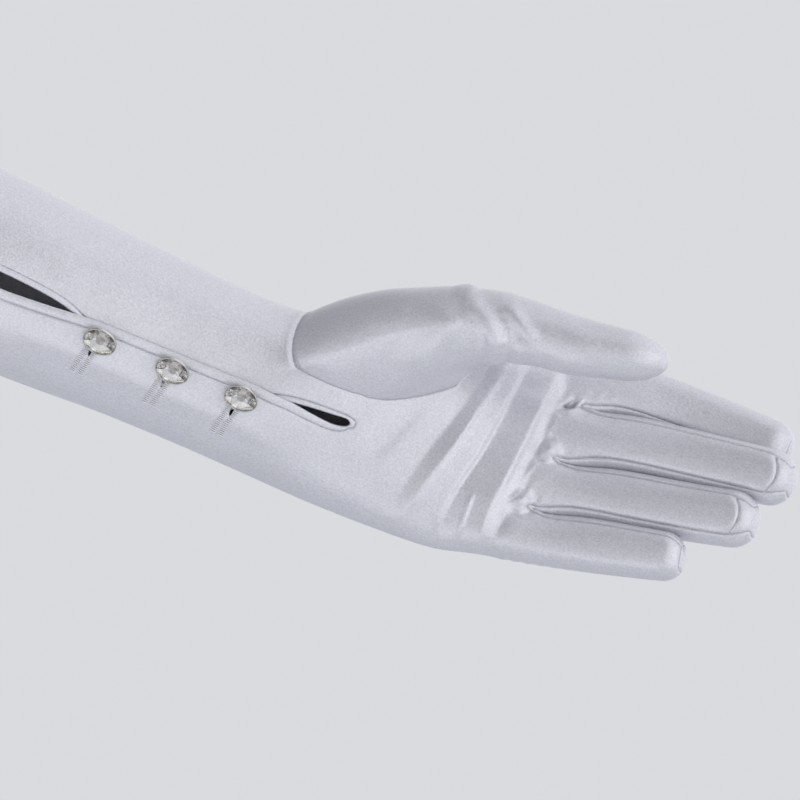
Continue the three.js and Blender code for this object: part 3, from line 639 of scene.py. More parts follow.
@dataclass
class GloveNet:
    """The net of the whole glove: points, four-sided patches, and the label of each patch.

    Attributes:
        arm: Form of the sleeve and hand.
        fingers: The fingers, little finger first.
        thumb: Form of the thumb.
        hole: The thumb hole.
        bands: Rows of cloth along the glove: where a band ends and its rows.
        finger_rows: Rows along a finger.
        row_ease: Power by which a finger's rows lie closer at the crotches.
        tip_angles: Angles of the rings round a fingertip.
        arc_drop: How far the palm panel's corners are drawn back at each row from the tip's
            first ring: two rows before it, then its rings.
        crotch_blend: Length over which a finger leaves the crotch.
        knuckle_blend: Length over which the hand runs into the fingers.
        back_step: How much further back the crotches lie on the back of the hand.
        web: Points of a web from the palm to the back: share of the way, how far forward it
            bulges, and how far it stands out.
        seam_column: Column of the seam on the little finger's side.
    """

    arm: ArmForm = field(default_factory=ArmForm)
    fingers: tuple[Finger, ...] = HAND_FINGERS
    thumb: ThumbForm = field(default_factory=ThumbForm)
    hole: ThumbHole = field(default_factory=ThumbHole)
    bands: tuple[tuple[float, int], ...] = (
        (8, 2),
        (9, 1),
        (10, 1),
        (167, 12),
        (168, 2),
        (228, 13),
        (253.9, 6),
        (278.2, 6),
        (287, 2),
        (309, 8),
        (316, 5),
        (317, 2),
        (347.5, 15),
        (378, 30),
    )
    finger_rows: int = 22
    row_ease: float = 1.15
    tip_angles: tuple[float, ...] = (11, 22, 34, 45, 56)
    arc_drop: tuple[float, ...] = (0.15, 0.45, 0.8, 1.0, 0.55, 0.25, 0.0)
    crotch_blend: float = 9
    knuckle_blend: float = 22
    back_step: float = 5
    web: tuple[Triple, ...] = (
        (0.05, 2.2, 0.9),
        (0.16, 3.3, 0.5),
        (0.34, 2.7, 0.0),
        (0.55, 1.9, 0.0),
        (0.78, 1.0, 0.0),
    )
    seam_column: int = AROUND - 2

    def __post_init__(self) -> None:
        """Work out the rows, then build the net."""
        self.points: list[Vector] = []
        self.patches: list[tuple[int, ...]] = []
        self.labels: list[Cloth] = []
        self.seams: set[tuple[int, int]] = set()
        self.places = [0.0]
        for end, rows in self.bands:
            start = self.places[-1]
            self.places += [mix(start, end, i / rows) for i in range(1, rows + 1)]
        self.bases = [finger.oval(0) for finger in self.fingers]
        self.rim = math.cos(math.radians(self.tip_angles[-1]))
        self._build_hand()
        webs = [self._web(k) for k in range(FINGERS - 1)]
        for k in range(FINGERS):
            self._build_finger(k, webs)
        self._build_thumb()

    def _add(self, spot: Vector) -> int:
        """Add a point and return its number."""
        self.points.append(spot)
        return len(self.points) - 1

    def _patch(self, label: Cloth, *corners: int) -> None:
        """Add a patch of one piece."""
        self.patches.append(corners)
        self.labels.append(label)

    def _sew(self, line: Sequence[int]) -> None:
        """Note a seam along a line of points."""
        self.seams.update((min(pair), max(pair)) for pair in zip(line, line[1:]))

    def _row_of(self, x: float) -> int:
        """Return the row nearest to a place."""
        return min(range(len(self.places)), key=lambda i: abs(self.places[i] - x))

    def _knuckle(self, column: float, back: float) -> Vector:
        """Return where a column meets the fingers: its finger's tube run backward."""
        if column > ULNAR_CORNER or RADIAL_CORNER < column < BACK_START:
            finger = self.fingers[0 if column > ULNAR_CORNER else -1]
            return finger.oval(-back).at_column(column, finger.panel)
        face = -1 if column >= BACK_START else 1
        u = PALM - (column - BACK_START) if face < 0 else column
        k = min(int(u // PANEL), FINGERS - 1)
        across = u - k * PANEL
        spot = self.fingers[k].point(self.fingers[k].oval(-back), face, across / PANEL)
        if across == 0 and k > 0:
            near = self.fingers[k - 1]
            spot = (spot + near.point(near.oval(-back), face, 1)) / 2
        if face < 0 and 0 < u < PALM:
            spot.x -= self.back_step * min(1, u, PALM - u)
        return spot

    def _hand_point(self, row: int, column: float, inner_edge: bool = False) -> Vector:
        """Return the point of a row and column of the sleeve and hand."""
        x, drawn = self.arm.round_end(*self.hole.warp(self.places[row], column))
        spot = self.arm.point(x, drawn, inner_edge)
        back = self.places[-1] - self.places[row]
        if back < self.knuckle_blend:
            knuckle = self._knuckle(column, back / self.bases[0].length)
            spot = spot.lerp(knuckle, 1 - smooth(back / self.knuckle_blend))
        return spot

    def _build_hand(self) -> None:
        """Build the sleeve and hand round the wrist opening and the thumb hole."""
        slit_first, slit_last = (self._row_of(x) for x in self.arm.slit)
        hole_first, hole_last = self._row_of(self.hole.start), self._row_of(self.hole.end)
        self.hole_rows = hole_first, hole_last
        slit = SLIT_COLUMN * SPLIT
        self.grid: list[list[int]] = []
        inner: list[int] = []
        for row in range(len(self.places)):
            line = []
            for i in range(FINE_AROUND):
                in_hole = self.hole.first < i / SPLIT < self.hole.last
                inside = in_hole and hole_first < row < hole_last
                line.append(-1 if inside else self._add(self._hand_point(row, i / SPLIT)))
            self.grid.append(line)
            is_open = slit_first < row < slit_last
            edge = self._add(self._hand_point(row, SLIT_COLUMN, True)) if is_open else line[slit]
            inner.append(edge)
        for row, (line, ahead) in enumerate(zip(self.grid, self.grid[1:])):
            for i in range(FINE_AROUND):
                in_hole = self.hole.first <= i / SPLIT < self.hole.last
                if in_hole and hole_first <= row < hole_last:
                    continue
                a, b = (inner[row], inner[row + 1]) if i == slit else (line[i], ahead[i])
                beside = slit - SPLIT <= i < slit + SPLIT
                bound = beside and slit_first - 2 <= row <= slit_last + 1
                label = Cloth.BINDING if bound else Cloth.TRANK
                after = (i + 1) % FINE_AROUND
                self._patch(label, a, b, ahead[after], line[after])
        self._sew([line[self.seam_column * SPLIT] for line in self.grid])

    def _web(self, k: int) -> list[int]:
        """Add the points of the web between a finger and the next."""
        near, far = self.fingers[k], self.fingers[k + 1]
        palm, back = (
            (near.point(self.bases[k], face, 1) + far.point(self.bases[k + 1], face, 0)) / 2
            for face in (1, -1)
        )
        back.x -= self.back_step
        return [
            self._add(palm.lerp(back, share) + Vector((ahead, -out, 0)))
            for share, ahead, out in self.web
        ]

    def _start_ring(self, k: int, webs: Sequence[Sequence[int]]) -> list[int]:
        """Return the points that a finger starts from: the hand's last row and the webs."""
        last = self.grid[-1]
        palm, back = k * FINE_PANEL, (BACK_START + PALM) * SPLIT - k * FINE_PANEL
        thumb_side = range(RADIAL_CORNER * SPLIT + 1, BACK_START * SPLIT)
        other_side = range(ULNAR_CORNER * SPLIT + 1, FINE_AROUND)
        ring = last[palm : palm + FINE_PANEL + 1]
        ring += webs[k] if k < FINGERS - 1 else [last[i] for i in thumb_side]
        ring += last[back - FINE_PANEL : back + 1]
        ring += webs[k - 1][::-1] if k > 0 else [last[i] for i in other_side]
        return ring

    def _build_finger(self, k: int, webs: Sequence[Sequence[int]]) -> None:
        """Build a finger from its crotches to the tip, with its seams."""
        finger, base = self.fingers[k], self.bases[k]
        reach = finger.width[1]
        body = 1 - reach / base.length
        ring = self._start_ring(k, webs)
        offsets = [self.points[i] - own for i, own in zip(ring, finger.ring(base))]
        drops = [0.0] * (self.finger_rows - 2) + list(self.arc_drop)
        rings = [ring]

        def label(place: int) -> Cloth:
            if FINE_PANEL <= place < FINE_PANEL + FINE_SIDE and k < FINGERS - 1:
                return FOURCHETTES[k]
            if place >= 2 * FINE_PANEL + FINE_SIDE and k > 0:
                return FOURCHETTES[k - 1]
            return Cloth.TRANK

        end = finger.oval(body)
        for row in range(1, self.finger_rows + len(self.tip_angles) + 1):
            if row <= self.finger_rows:
                share = body * (row / self.finger_rows) ** self.row_ease
                drawn = math.exp(-((share * base.length / self.crotch_blend) ** 2))
                spots = finger.ring(finger.oval(share))
                spots = [spot + offset * drawn for spot, offset in zip(spots, offsets)]
            else:
                spots = finger.ring(end.rounded(reach, self.tip_angles[row - self.finger_rows - 1]))
            if finger.arc < len(self.tip_angles) - 1:
                for i in range(FINE_PANEL + 1):
                    across = (2 * i / FINE_PANEL - 1) * finger.panel
                    drop = 1 - math.sqrt(1 - across * across)
                    spots[i] = spots[i] - end.along * (finger.width[1] * drop * drops[row - 1])
            rings.append([self._add(spot) for spot in spots])
            self._join(rings[-2], rings[-1], label)
        arc = rings[self.finger_rows + 1 + finger.arc]
        self._sew(arc[: FINE_PANEL + 1])
        if k == 0:
            ulnar = 2 * FINE_PANEL + FINE_SIDE + (self.seam_column - ULNAR_CORNER) * SPLIT
            self._sew([line[ulnar] for line in rings])
            self._sew([*arc[ulnar:], arc[0]])

        def cap(w: float, d: float) -> Vector:
            size = self.rim * max(abs(w), abs(d))
            oval = end.rounded(reach, math.degrees(math.acos(size)))
            far = math.hypot(w, d) or 1.0
            across, out = oval.half * w / far, oval.thick * d / far
            return oval.centre + oval.across * across - oval.out * out

        self._close(rings[-1], FINE_PANEL, FINE_SIDE, Cloth.TRANK, cap)

    def _join(
        self, start: Sequence[int], end: Sequence[int], label: Callable[[int], Cloth]
    ) -> None:
        """Join two rings by patches."""
        for i, index in enumerate(start):
            after = (i + 1) % len(start)
            self._patch(label(i), index, end[i], end[after], start[after])

    def _close(
        self,
        ring: Sequence[int],
        wide: int,
        deep: int,
        label: Cloth,
        cap: Callable[[float, float], Vector],
    ) -> None:
        """Close a ring by a grid of patches.

        Args:
            ring: The ring's points.
            wide: Patches on its first side.
            deep: Patches on its next side.
            label: The piece that the patches belong to.
            cap: Gives the point at a place of the grid, which runs from -1 to 1 both ways.
        """
        grid = [ring[: wide + 1]]
        for d in range(1, deep):
            middle = [self._add(cap(2 * w / wide - 1, 2 * d / deep - 1)) for w in range(1, wide)]
            grid.append([ring[-d], *middle, ring[wide + d]])
        grid.append(ring[wide + deep : 2 * wide + deep + 1][::-1])
        for line, ahead in zip(grid, grid[1:]):
            for w in range(wide):
                self._patch(label, line[w], ahead[w], ahead[w + 1], line[w + 1])

    def _build_thumb(self) -> None:
        """Build the thumb from its hole to the tip."""
        first, last = int(self.hole.first * SPLIT), int(self.hole.last * SPLIT)
        start, end = self.hole_rows
        ring = self.grid[start][first:last]
        ring += [self.grid[row][last] for row in range(start, end)]
        ring += self.grid[end][last:first:-1]
        ring += [self.grid[row][first] for row in range(end, start, -1)]
        seam = [self.points[index] for index in ring]
        centre = sum(seam, Vector()) / len(seam)
        long, short = (
            [(spot - centre).dot(way) for spot in seam]
            for way in (self.thumb.seam_long, self.thumb.hinge)
        )
        reach_long, reach_short = max(map(abs, long)), max(map(abs, short))
        turns = [math.atan2(b / reach_short, a / reach_long) for a, b in zip(long, short)]
        rings = [[] for _ in range(self.thumb.rows)]
        for angle, spot in zip(turns, seam):
            away = spot - self.arm.oval(spot.x).centre
            away.x = 0
            away.normalize()
            knuckle = self.thumb.spot(self.thumb.sections[0], angle)
            for row, spots in enumerate(rings, 1):
                spots.append(self.thumb.ball(spot, knuckle, away, row / self.thumb.rows))
        for section in self.thumb.beyond_knuckle(self.tip_angles):
            rings.append([self.thumb.spot(section, angle) for angle in turns])
        for spots in rings:
            after = [self._add(spot) for spot in spots]
            self._join(ring, after, lambda place: Cloth.THUMB)
            ring = after

        def cap(w: float, d: float) -> Vector:
            size = self.rim * max(abs(w), abs(d))
            section = self.thumb.tip_section(math.degrees(math.acos(size)))
            return self.thumb.spot(section, math.atan2(w, d))

        self._close(ring, last - first, end - start, Cloth.THUMB, cap)


def bump(far: Array, power: int = 2) -> Array:
    """Return the height of a soft bump, 1 at its middle, at each distance in half widths."""
    return np.exp(-(far**power))


def ramp(at: Array, start: float, end: float) -> Array:
    """Return a straight ramp from 0 at the start to 1 at the end."""
    return np.clip((at - start) / (end - start), 0, 1)


@dataclass(frozen=True)
class Fold:
    """A fold: a ridge (height above 0) or valley along a line seen from the palm side.

    Attributes:
        line: Points (x, z) of the line.
        height: Height in millimetres.
        wide: Half width in millimetres on the line's cuff side and on its fingertip side.
        piece: The piece that it lies on.
        fade: Share of the line over which each end fades, and the least height kept there.
    """

    line: tuple[Pair, ...]
    height: float
    wide: Pair
    piece: Cloth = Cloth.THUMB
    fade: Pair = (0.2, 0.15)

    def lift(self, spots: Array) -> Array:
        """Return the fold's height at many points.

        Args:
            spots: Points, one a row, as x, y, z in millimetres.

        Returns:
            The height at each point.
        """
        flat = spots[:, [0, 2]]
        near = np.full(len(flat), FAR)
        place = np.zeros(len(flat))
        ahead = np.zeros(len(flat), dtype=bool)
        pairs = list(zip(self.line, self.line[1:]))
        total, run = sum(math.dist(a, b) for a, b in pairs), 0.0
        for a, b in pairs:
            length, start, step = math.dist(a, b), np.array(a), np.array(b) - np.array(a)
            t = np.clip((flat - start) @ step / (step @ step), 0, 1)
            off = flat - start - t[:, None] * step
            gap = np.linalg.norm(off, axis=1)
            closer = gap < near
            near = np.where(closer, gap, near)
            place = np.where(closer, (run + t * length) / total, place)
            ahead = np.where(closer, off[:, 0] > 0, ahead)
            run += length
        ends = np.clip(np.minimum(place, 1 - place) / self.fade[0], self.fade[1], 1)
        return self.height * ends * bump(near / np.where(ahead, self.wide[1], self.wide[0]))


@dataclass(frozen=True)
class Pleats:
    """The pleats across the palm, as lines of crests and valleys seen from the palm side.

    Attributes:
        levels: Levels z at which each line's place is given.
        lines: For each line, from the cuff's side, its height and its places x.
        soft: How far the creases are softened.
        low: Levels between which the pleats fade in on the little finger's side.
        high: Levels between which they fade out on the thumb's side.
        span: Places between which the palm is drawn flat under the pleats.
        ironed: At each level z, the depth y at both ends of that span.
        iron_fade: Length, low height and high height over which the drawing flat fades.
        iron_over: How far it runs on above the last level.
    """

    levels: tuple[float, ...] = (-22, -16, -10, -4, 2, 8, 14, 20, 26, 32, 38)
    lines: tuple[tuple[float, tuple[float, ...]], ...] = (
        (0, (329, 330, 331, 332, 333, 334.5, 336.5, 338.6, 340.1, 341.3, 342)),
        (
            -0.85,
            (338.4, 339.6, 340.8, 341.9, 342.8, 344.2, 345.9, 347.6, 349.1, 350.3, 351.2),
        ),
        (0.95, (342.3, 343.6, 345, 346.6, 348.4, 350, 351.3, 352.4, 353.2, 354.1, 355)),
        (0.3, (345.6, 347.1, 348.1, 349.2, 350.4, 351.7, 353, 353.9, 354.9, 356, 357)),
        (-0.1, (354, 354.2, 354.6, 355.5, 356.7, 358, 358.7, 359.4, 359.7, 360.1, 360.5)),
        (-1.1, (356, 356.3, 356.6, 357.2, 358.4, 359.7, 360.6, 361.1, 361.5, 361.9, 362.3)),
        (1.2, (369.6, 369.3, 369, 369, 369.5, 370.3, 370.8, 371, 371.2, 371.4, 371.6)),
        (0, (373.5, 373.2, 372.8, 372.3, 372, 372.2, 372.6, 372.7, 372.9, 373.1, 373.6)),
        (-0.35, (375.5, 375.2, 374.8, 374.5, 374.6, 374.6, 374.8, 375, 375.3, 375.3, 375.5)),
        (0, (379, 379, 378.8, 378.6, 378.6, 378.6, 378.6, 378.8, 379, 379, 379)),
    )
    soft: float = 0.5
    low: Pair = (-29, -14)
    high: Pair = (32, 50)
    span: Pair = (350, 377)
    ironed: tuple[Triple, ...] = (
        (-16, -16.1, -17.9),
        (-10, -16.4, -17.3),
        (-4, -16.4, -16.2),
        (8, -14.6, -12.4),
        (20, -11.7, -7.2),
        (30, -8.5, -5.0),
        (36, -6.6, -3.5),
    )
    iron_fade: Triple = (3, 8, 18)
    iron_over: float = 8

    def lift(self, spots: Array) -> Array:
        """Return the pleats' height at many points.

        Args:
            spots: Points, one a row, as x, y, z in millimetres.

        Returns:
            The height at each point.
        """
        z = spots[:, 2]
        places = [np.interp(z, self.levels, line) for _, line in self.lines]
        rises = np.diff([height for height, _ in self.lines])
        total = np.zeros(len(spots))
        for shift, weight in ((-self.soft, 0.25), (0.0, 0.5), (self.soft, 0.25)):
            for start, end, rise in zip(places, places[1:], rises):
                total += weight * rise * ramp(spots[:, 0] + shift, start, end)
        return total * ramp(z, *self.low) * ramp(z, *self.high[::-1]) + self._iron(spots)

    def _iron(self, spots: Array) -> Array:
        """Return the lift that draws the palm flat under the pleats."""
        x, y, z = spots.T
        start, end = self.span
        levels, first, last = zip(*self.ironed)
        level = mix(np.interp(z, levels, first), np.interp(z, levels, last), ramp(x, start, end))
        along, low, high = self.iron_fade
        near = np.clip(np.minimum(x - start, end - x) / along, 0, 1)
        top = levels[-1] + self.iron_over
        inside = np.clip(np.minimum((z - levels[0]) / low, (top - z) / high), 0, 1)
        return (y - level) * near * inside


@dataclass(frozen=True)
class Swell:
    """A broad rise of the glove's form, seen from the palm side."""

    spot: Pair
    height: float
    wide: Pair

    def lift(self, spots: Array) -> Array:
        """Return the height at many points."""
        off = (spots[:, [0, 2]] - self.spot) / self.wide
        return self.height * bump(np.hypot(*off.T))


@dataclass(frozen=True)
class Gather:
    """A gathered corner between two fingers: a small knob, or a loop round a small hole.

    Attributes:
        spot: Place (x, z) of the knob or hole.
        corner: Place of the corner before it is drawn in.
        draw: How far the corner is drawn in, along x and z.
        knob: Height of the knob.
        loop: Height of the loop.
        hole: Depth of the hole.
        reach: How far toward the fingertips, and how far elsewhere, the cloth is drawn along.
        knob_wide: Half width of the knob.
        lobes: Number of the knob's lobes, and their height as a share of it.
        trench: Depth as a share of the knob, distance and half width of the trench round it.
        loop_wide: Distance and half width of the loop.
        hole_wide: Half width of the hole.
    """

    spot: Pair
    corner: Pair
    draw: Pair
    knob: float = 0.0
    loop: float = 0.0
    hole: float = 0.0
    reach: Pair = (17, 7)
    knob_wide: float = 2.7
    lobes: tuple[int, float] = (5, 0.25)
    trench: Triple = (0.15, 4.4, 0.8)
    loop_wide: Pair = (2.4, 0.7)
    hole_wide: float = 1.2

    def drawn(self, spots: Array) -> Array:
        """Return how far many points are drawn along with the corner."""
        off_x, off_z = (spots[:, [0, 2]] - self.corner).T
        ahead, around = self.reach
        far = np.hypot(off_x / np.where(off_x > 0, ahead, around), off_z / around)
        return bump(far)[:, None] * np.array((self.draw[0], 0, self.draw[1]))

    def lift(self, spots: Array) -> Array:
        """Return the height at many points."""
        off_x, off_z = (spots[:, [0, 2]] - self.spot).T
        far = np.hypot(off_x, off_z)
        count, height = self.lobes
        lobed = 1 + height * np.cos(count * np.arctan2(off_z, off_x))
        depth, trench, trench_wide = self.trench
        knob = lobed * bump(far / self.knob_wide) - depth * bump((far - trench) / trench_wide)
        loop = bump((far - self.loop_wide[0]) / self.loop_wide[1])
        hole = bump(far / self.hole_wide, 4)
        return self.knob * knob + self.loop * loop - self.hole * hole


@dataclass(frozen=True)
class Slack:
    """The sleeve's slack: low waves round and along it.

    Attributes:
        height: Height of the waves.
        long: Lengths of the two waves along the sleeve, for one radian.
        sway: How far the first wave sways round the sleeve, and where it starts.
        twist: How far the second wave twists round the sleeve, and where it starts.
        end: Place where the waves have faded out, and the length over which they fade.
        cuff: Length over which they start at the cuff.
    """

    height: float = 0.28
    long: Pair = (17, 41)
    sway: Pair = (2.2, 0.6)
    twist: Pair = (1.3, 1)
    end: Pair = (330, 60)
    cuff: float = 30

    def lift(self, spots: Array) -> Array:
        """Return the height at many points."""
        x, y, z = spots.T
        angle = np.arctan2(y, z)
        sway = self.sway[0] * np.sin(angle + self.sway[1])
        twist = self.twist[0] * angle + self.twist[1]
        waves = np.sin(x / self.long[0] + sway) * np.sin(x / self.long[1] + twist)
        end, fade = self.end
        return self.height * waves * ramp(x, end, end - fade) * ramp(x, 0, self.cuff)


FOLDS = (
    Fold(((361.6, -4), (362.2, -12), (363, -20)), 0.75, (1.2, 1.0), Cloth.TRANK),
    Fold(((336, 16), (330, 3), (325, -8)), -0.35, (3.4, 3.0), Cloth.TRANK),
    Fold(((326, 14), (321, 4), (317, -12)), 0.3, (4.0, 3.0), Cloth.TRANK),
    Fold(((377.8, 33), (377.2, 24), (377, 20)), 0.25, (0.8, 0.8), Cloth.TRANK),
    Fold(((377.2, 15), (375.8, 8), (375.2, 2)), 0.3, (0.8, 0.8), Cloth.TRANK),
    Fold(
        ((392, 64.5), (396.4, 65.2), (399.4, 63.9), (401.6, 61.8), (402.8, 59)), -0.3, (0.8, 0.8)
    ),
    Fold(
        ((326, 66), (331.6, 59.5), (336.6, 53.5), (342, 49.5), (346.6, 46.2), (352.4, 42.2)),
        1.35,
        (2.4, 1.5),
    ),
    Fold(((337.5, 50.5), (342.2, 45.6), (346.4, 40.5)), -0.8, (1.4, 1.1)),
    Fold(((345.5, 55), (350.2, 50.6), (355.3, 46.3), (358, 43.5)), -1.15, (1.5, 1.3)),
    Fold(((346.5, 57.5), (353.6, 52.6), (361, 48.8)), 1.2, (1.8, 2.2)),
    Fold(((337, 47), (339.5, 42), (341, 37)), 0.5, (1.8, 1.8)),
    Fold(((334, 50), (332.2, 38), (329, 23)), 1.25, (4.6, 3.0)),
    Fold(((324, 48), (323, 38), (320, 26)), -0.7, (4.5, 3.5)),
    Fold(((331.5, 49), (335, 45.8), (339.5, 42.5)), -0.5, (1.6, 1.6)),
    Fold(((304.6, 24), (315, 21.8), (326, 19.8)), 0.32, (1.3, 1.3)),
    Fold(((303, 27.5), (314, 25), (325, 23)), -0.3, (1.6, 1.6)),
    Fold(((350.5, 50), (354.6, 42), (356.6, 34)), -1.3, (1.5, 1.3)),
    Fold(((347.5, 46), (349.8, 40), (350, 34)), 0.7, (1.8, 1.6)),
    Fold(((366, 57), (369, 52), (374, 47)), -0.3, (2.2, 2.2)),
)
SWELLS = (
    Swell((304, 14), 3.2, (17, 13)),
    Swell((326, 36), 1.5, (14, 16)),
    Swell((316, 58), -1.1, (9, 9)),
)
GATHERS = (
    Gather((377.8, 0.0), (377.4, 1.8), (3.9, -2.0), knob=3.2),
    Gather((380.2, 18.5), (380.1, 20.8), (3.2, -2.8), knob=3.2),
    Gather((379.9, 35.4), (378.6, 38.8), (4.2, -1.6), loop=0.9, hole=9.0),
)


@dataclass(frozen=True)
class ClothFinish:
    """How the net becomes cloth: its fineness, wall, seams and folds.

    Attributes:
        levels: Levels of smooth subdivision.
        wall: Thickness of the cloth in millimetres.
        gap: Gap that a seam leaves between two pieces.
        groove: Depth of the valley along a seam.
        shallow: The same for the narrow pieces' seams.
        beside: Depth of the valley one step beside the seam, as a share.
        shoulder: Swell of the cloth two steps beside it.
        pucker: Share by which the stitches make the valley deeper and shallower.
        pitch: Length of one pucker.
        skew: How far the puckers follow the level as well as the length.
        ruffle: Height of the small waves beside a seam near the crotches.
        ruffle_pitch: Length of one of them.
        ruffle_fade: Length over which they fade along the fingers.
        ruffle_steps: Their height at each step from the seam, as a share.
        hem: Where the hem's row of stitches lies.
        bound: Swell of the bound edge.
        thumb_reach: How far round from facing the palm's side the thumb's folds fade out.
        palm_reach: The same for the palm's folds.
        reach_fade: How softly they fade there.
    """

    levels: int = 1
    wall: float = 0.55
    gap: float = 0.05
    groove: float = 0.14
    shallow: float = 0.03
    beside: float = 0.3
    shoulder: float = 0.03
    pucker: float = 0.4
    pitch: float = 2.6
    skew: float = 0.6
    ruffle: float = 0.2
    ruffle_pitch: float = 4.3
    ruffle_fade: float = 16
    ruffle_steps: tuple[float, ...] = (0, 1.0, 0.6, 0.25, 0)
    hem: float = 9.0
    bound: float = 0.3
    thumb_reach: float = 0.45
    palm_reach: float = 0.1
    reach_fade: float = 0.5


@dataclass(frozen=True)
class Slit:
    """The slit of a buttonhole, cut across the opening's outer flap.

    Attributes:
        x: Place along the sleeve, on a row of the net.
        top: Level of its upper end.
        end: Level of its lower end.
        eye: Level of the shank, where it stands widest open.
        wide: Half width at the eye and just below it.
        eye_fade: Share of the length below the eye over which it narrows.
    """

    x: float
    top: float = -5.6
    end: float = -13.6
    eye: float = -7.6
    wide: Pair = (1.0, 0.55)
    eye_fade: float = 0.16

    def half(self, z: float) -> float:
        """Return half the slit's width at a level."""
        eye, slot = self.wide
        if z > self.eye:
            return eye * math.sqrt(max(1 - ((z - self.eye) / (self.top - self.eye)) ** 2, 0.0))
        below = (self.eye - z) / (self.eye - self.end)
        return slot * math.sqrt(1 - below**3) + (eye - slot) * bump(below / self.eye_fade)


def gathered(quads: Array, count: int, values: Array) -> Array:
    """Add up each patch's value at its four points.

    Args:
        quads: The patches, as four point numbers a row.
        count: Number of points.
        values: One number or one row for each patch.

    Returns:
        The sum at each point.
    """
    total = np.zeros((count, *values.shape[1:]))
    for corner in quads.T:
        np.add.at(total, corner, values)
    return total


def unit(rows: Array) -> Array:
    """Return each row as a vector of length 1."""
    return rows / np.maximum(np.linalg.norm(rows, axis=1, keepdims=True), TINY)


def facing(spots: Array, quads: Array) -> Array:
    """Return each patch's outward direction, twice its area long."""
    a, b, c, d = (spots[corner] for corner in quads.T)
    return np.cross(c - a, d - b)


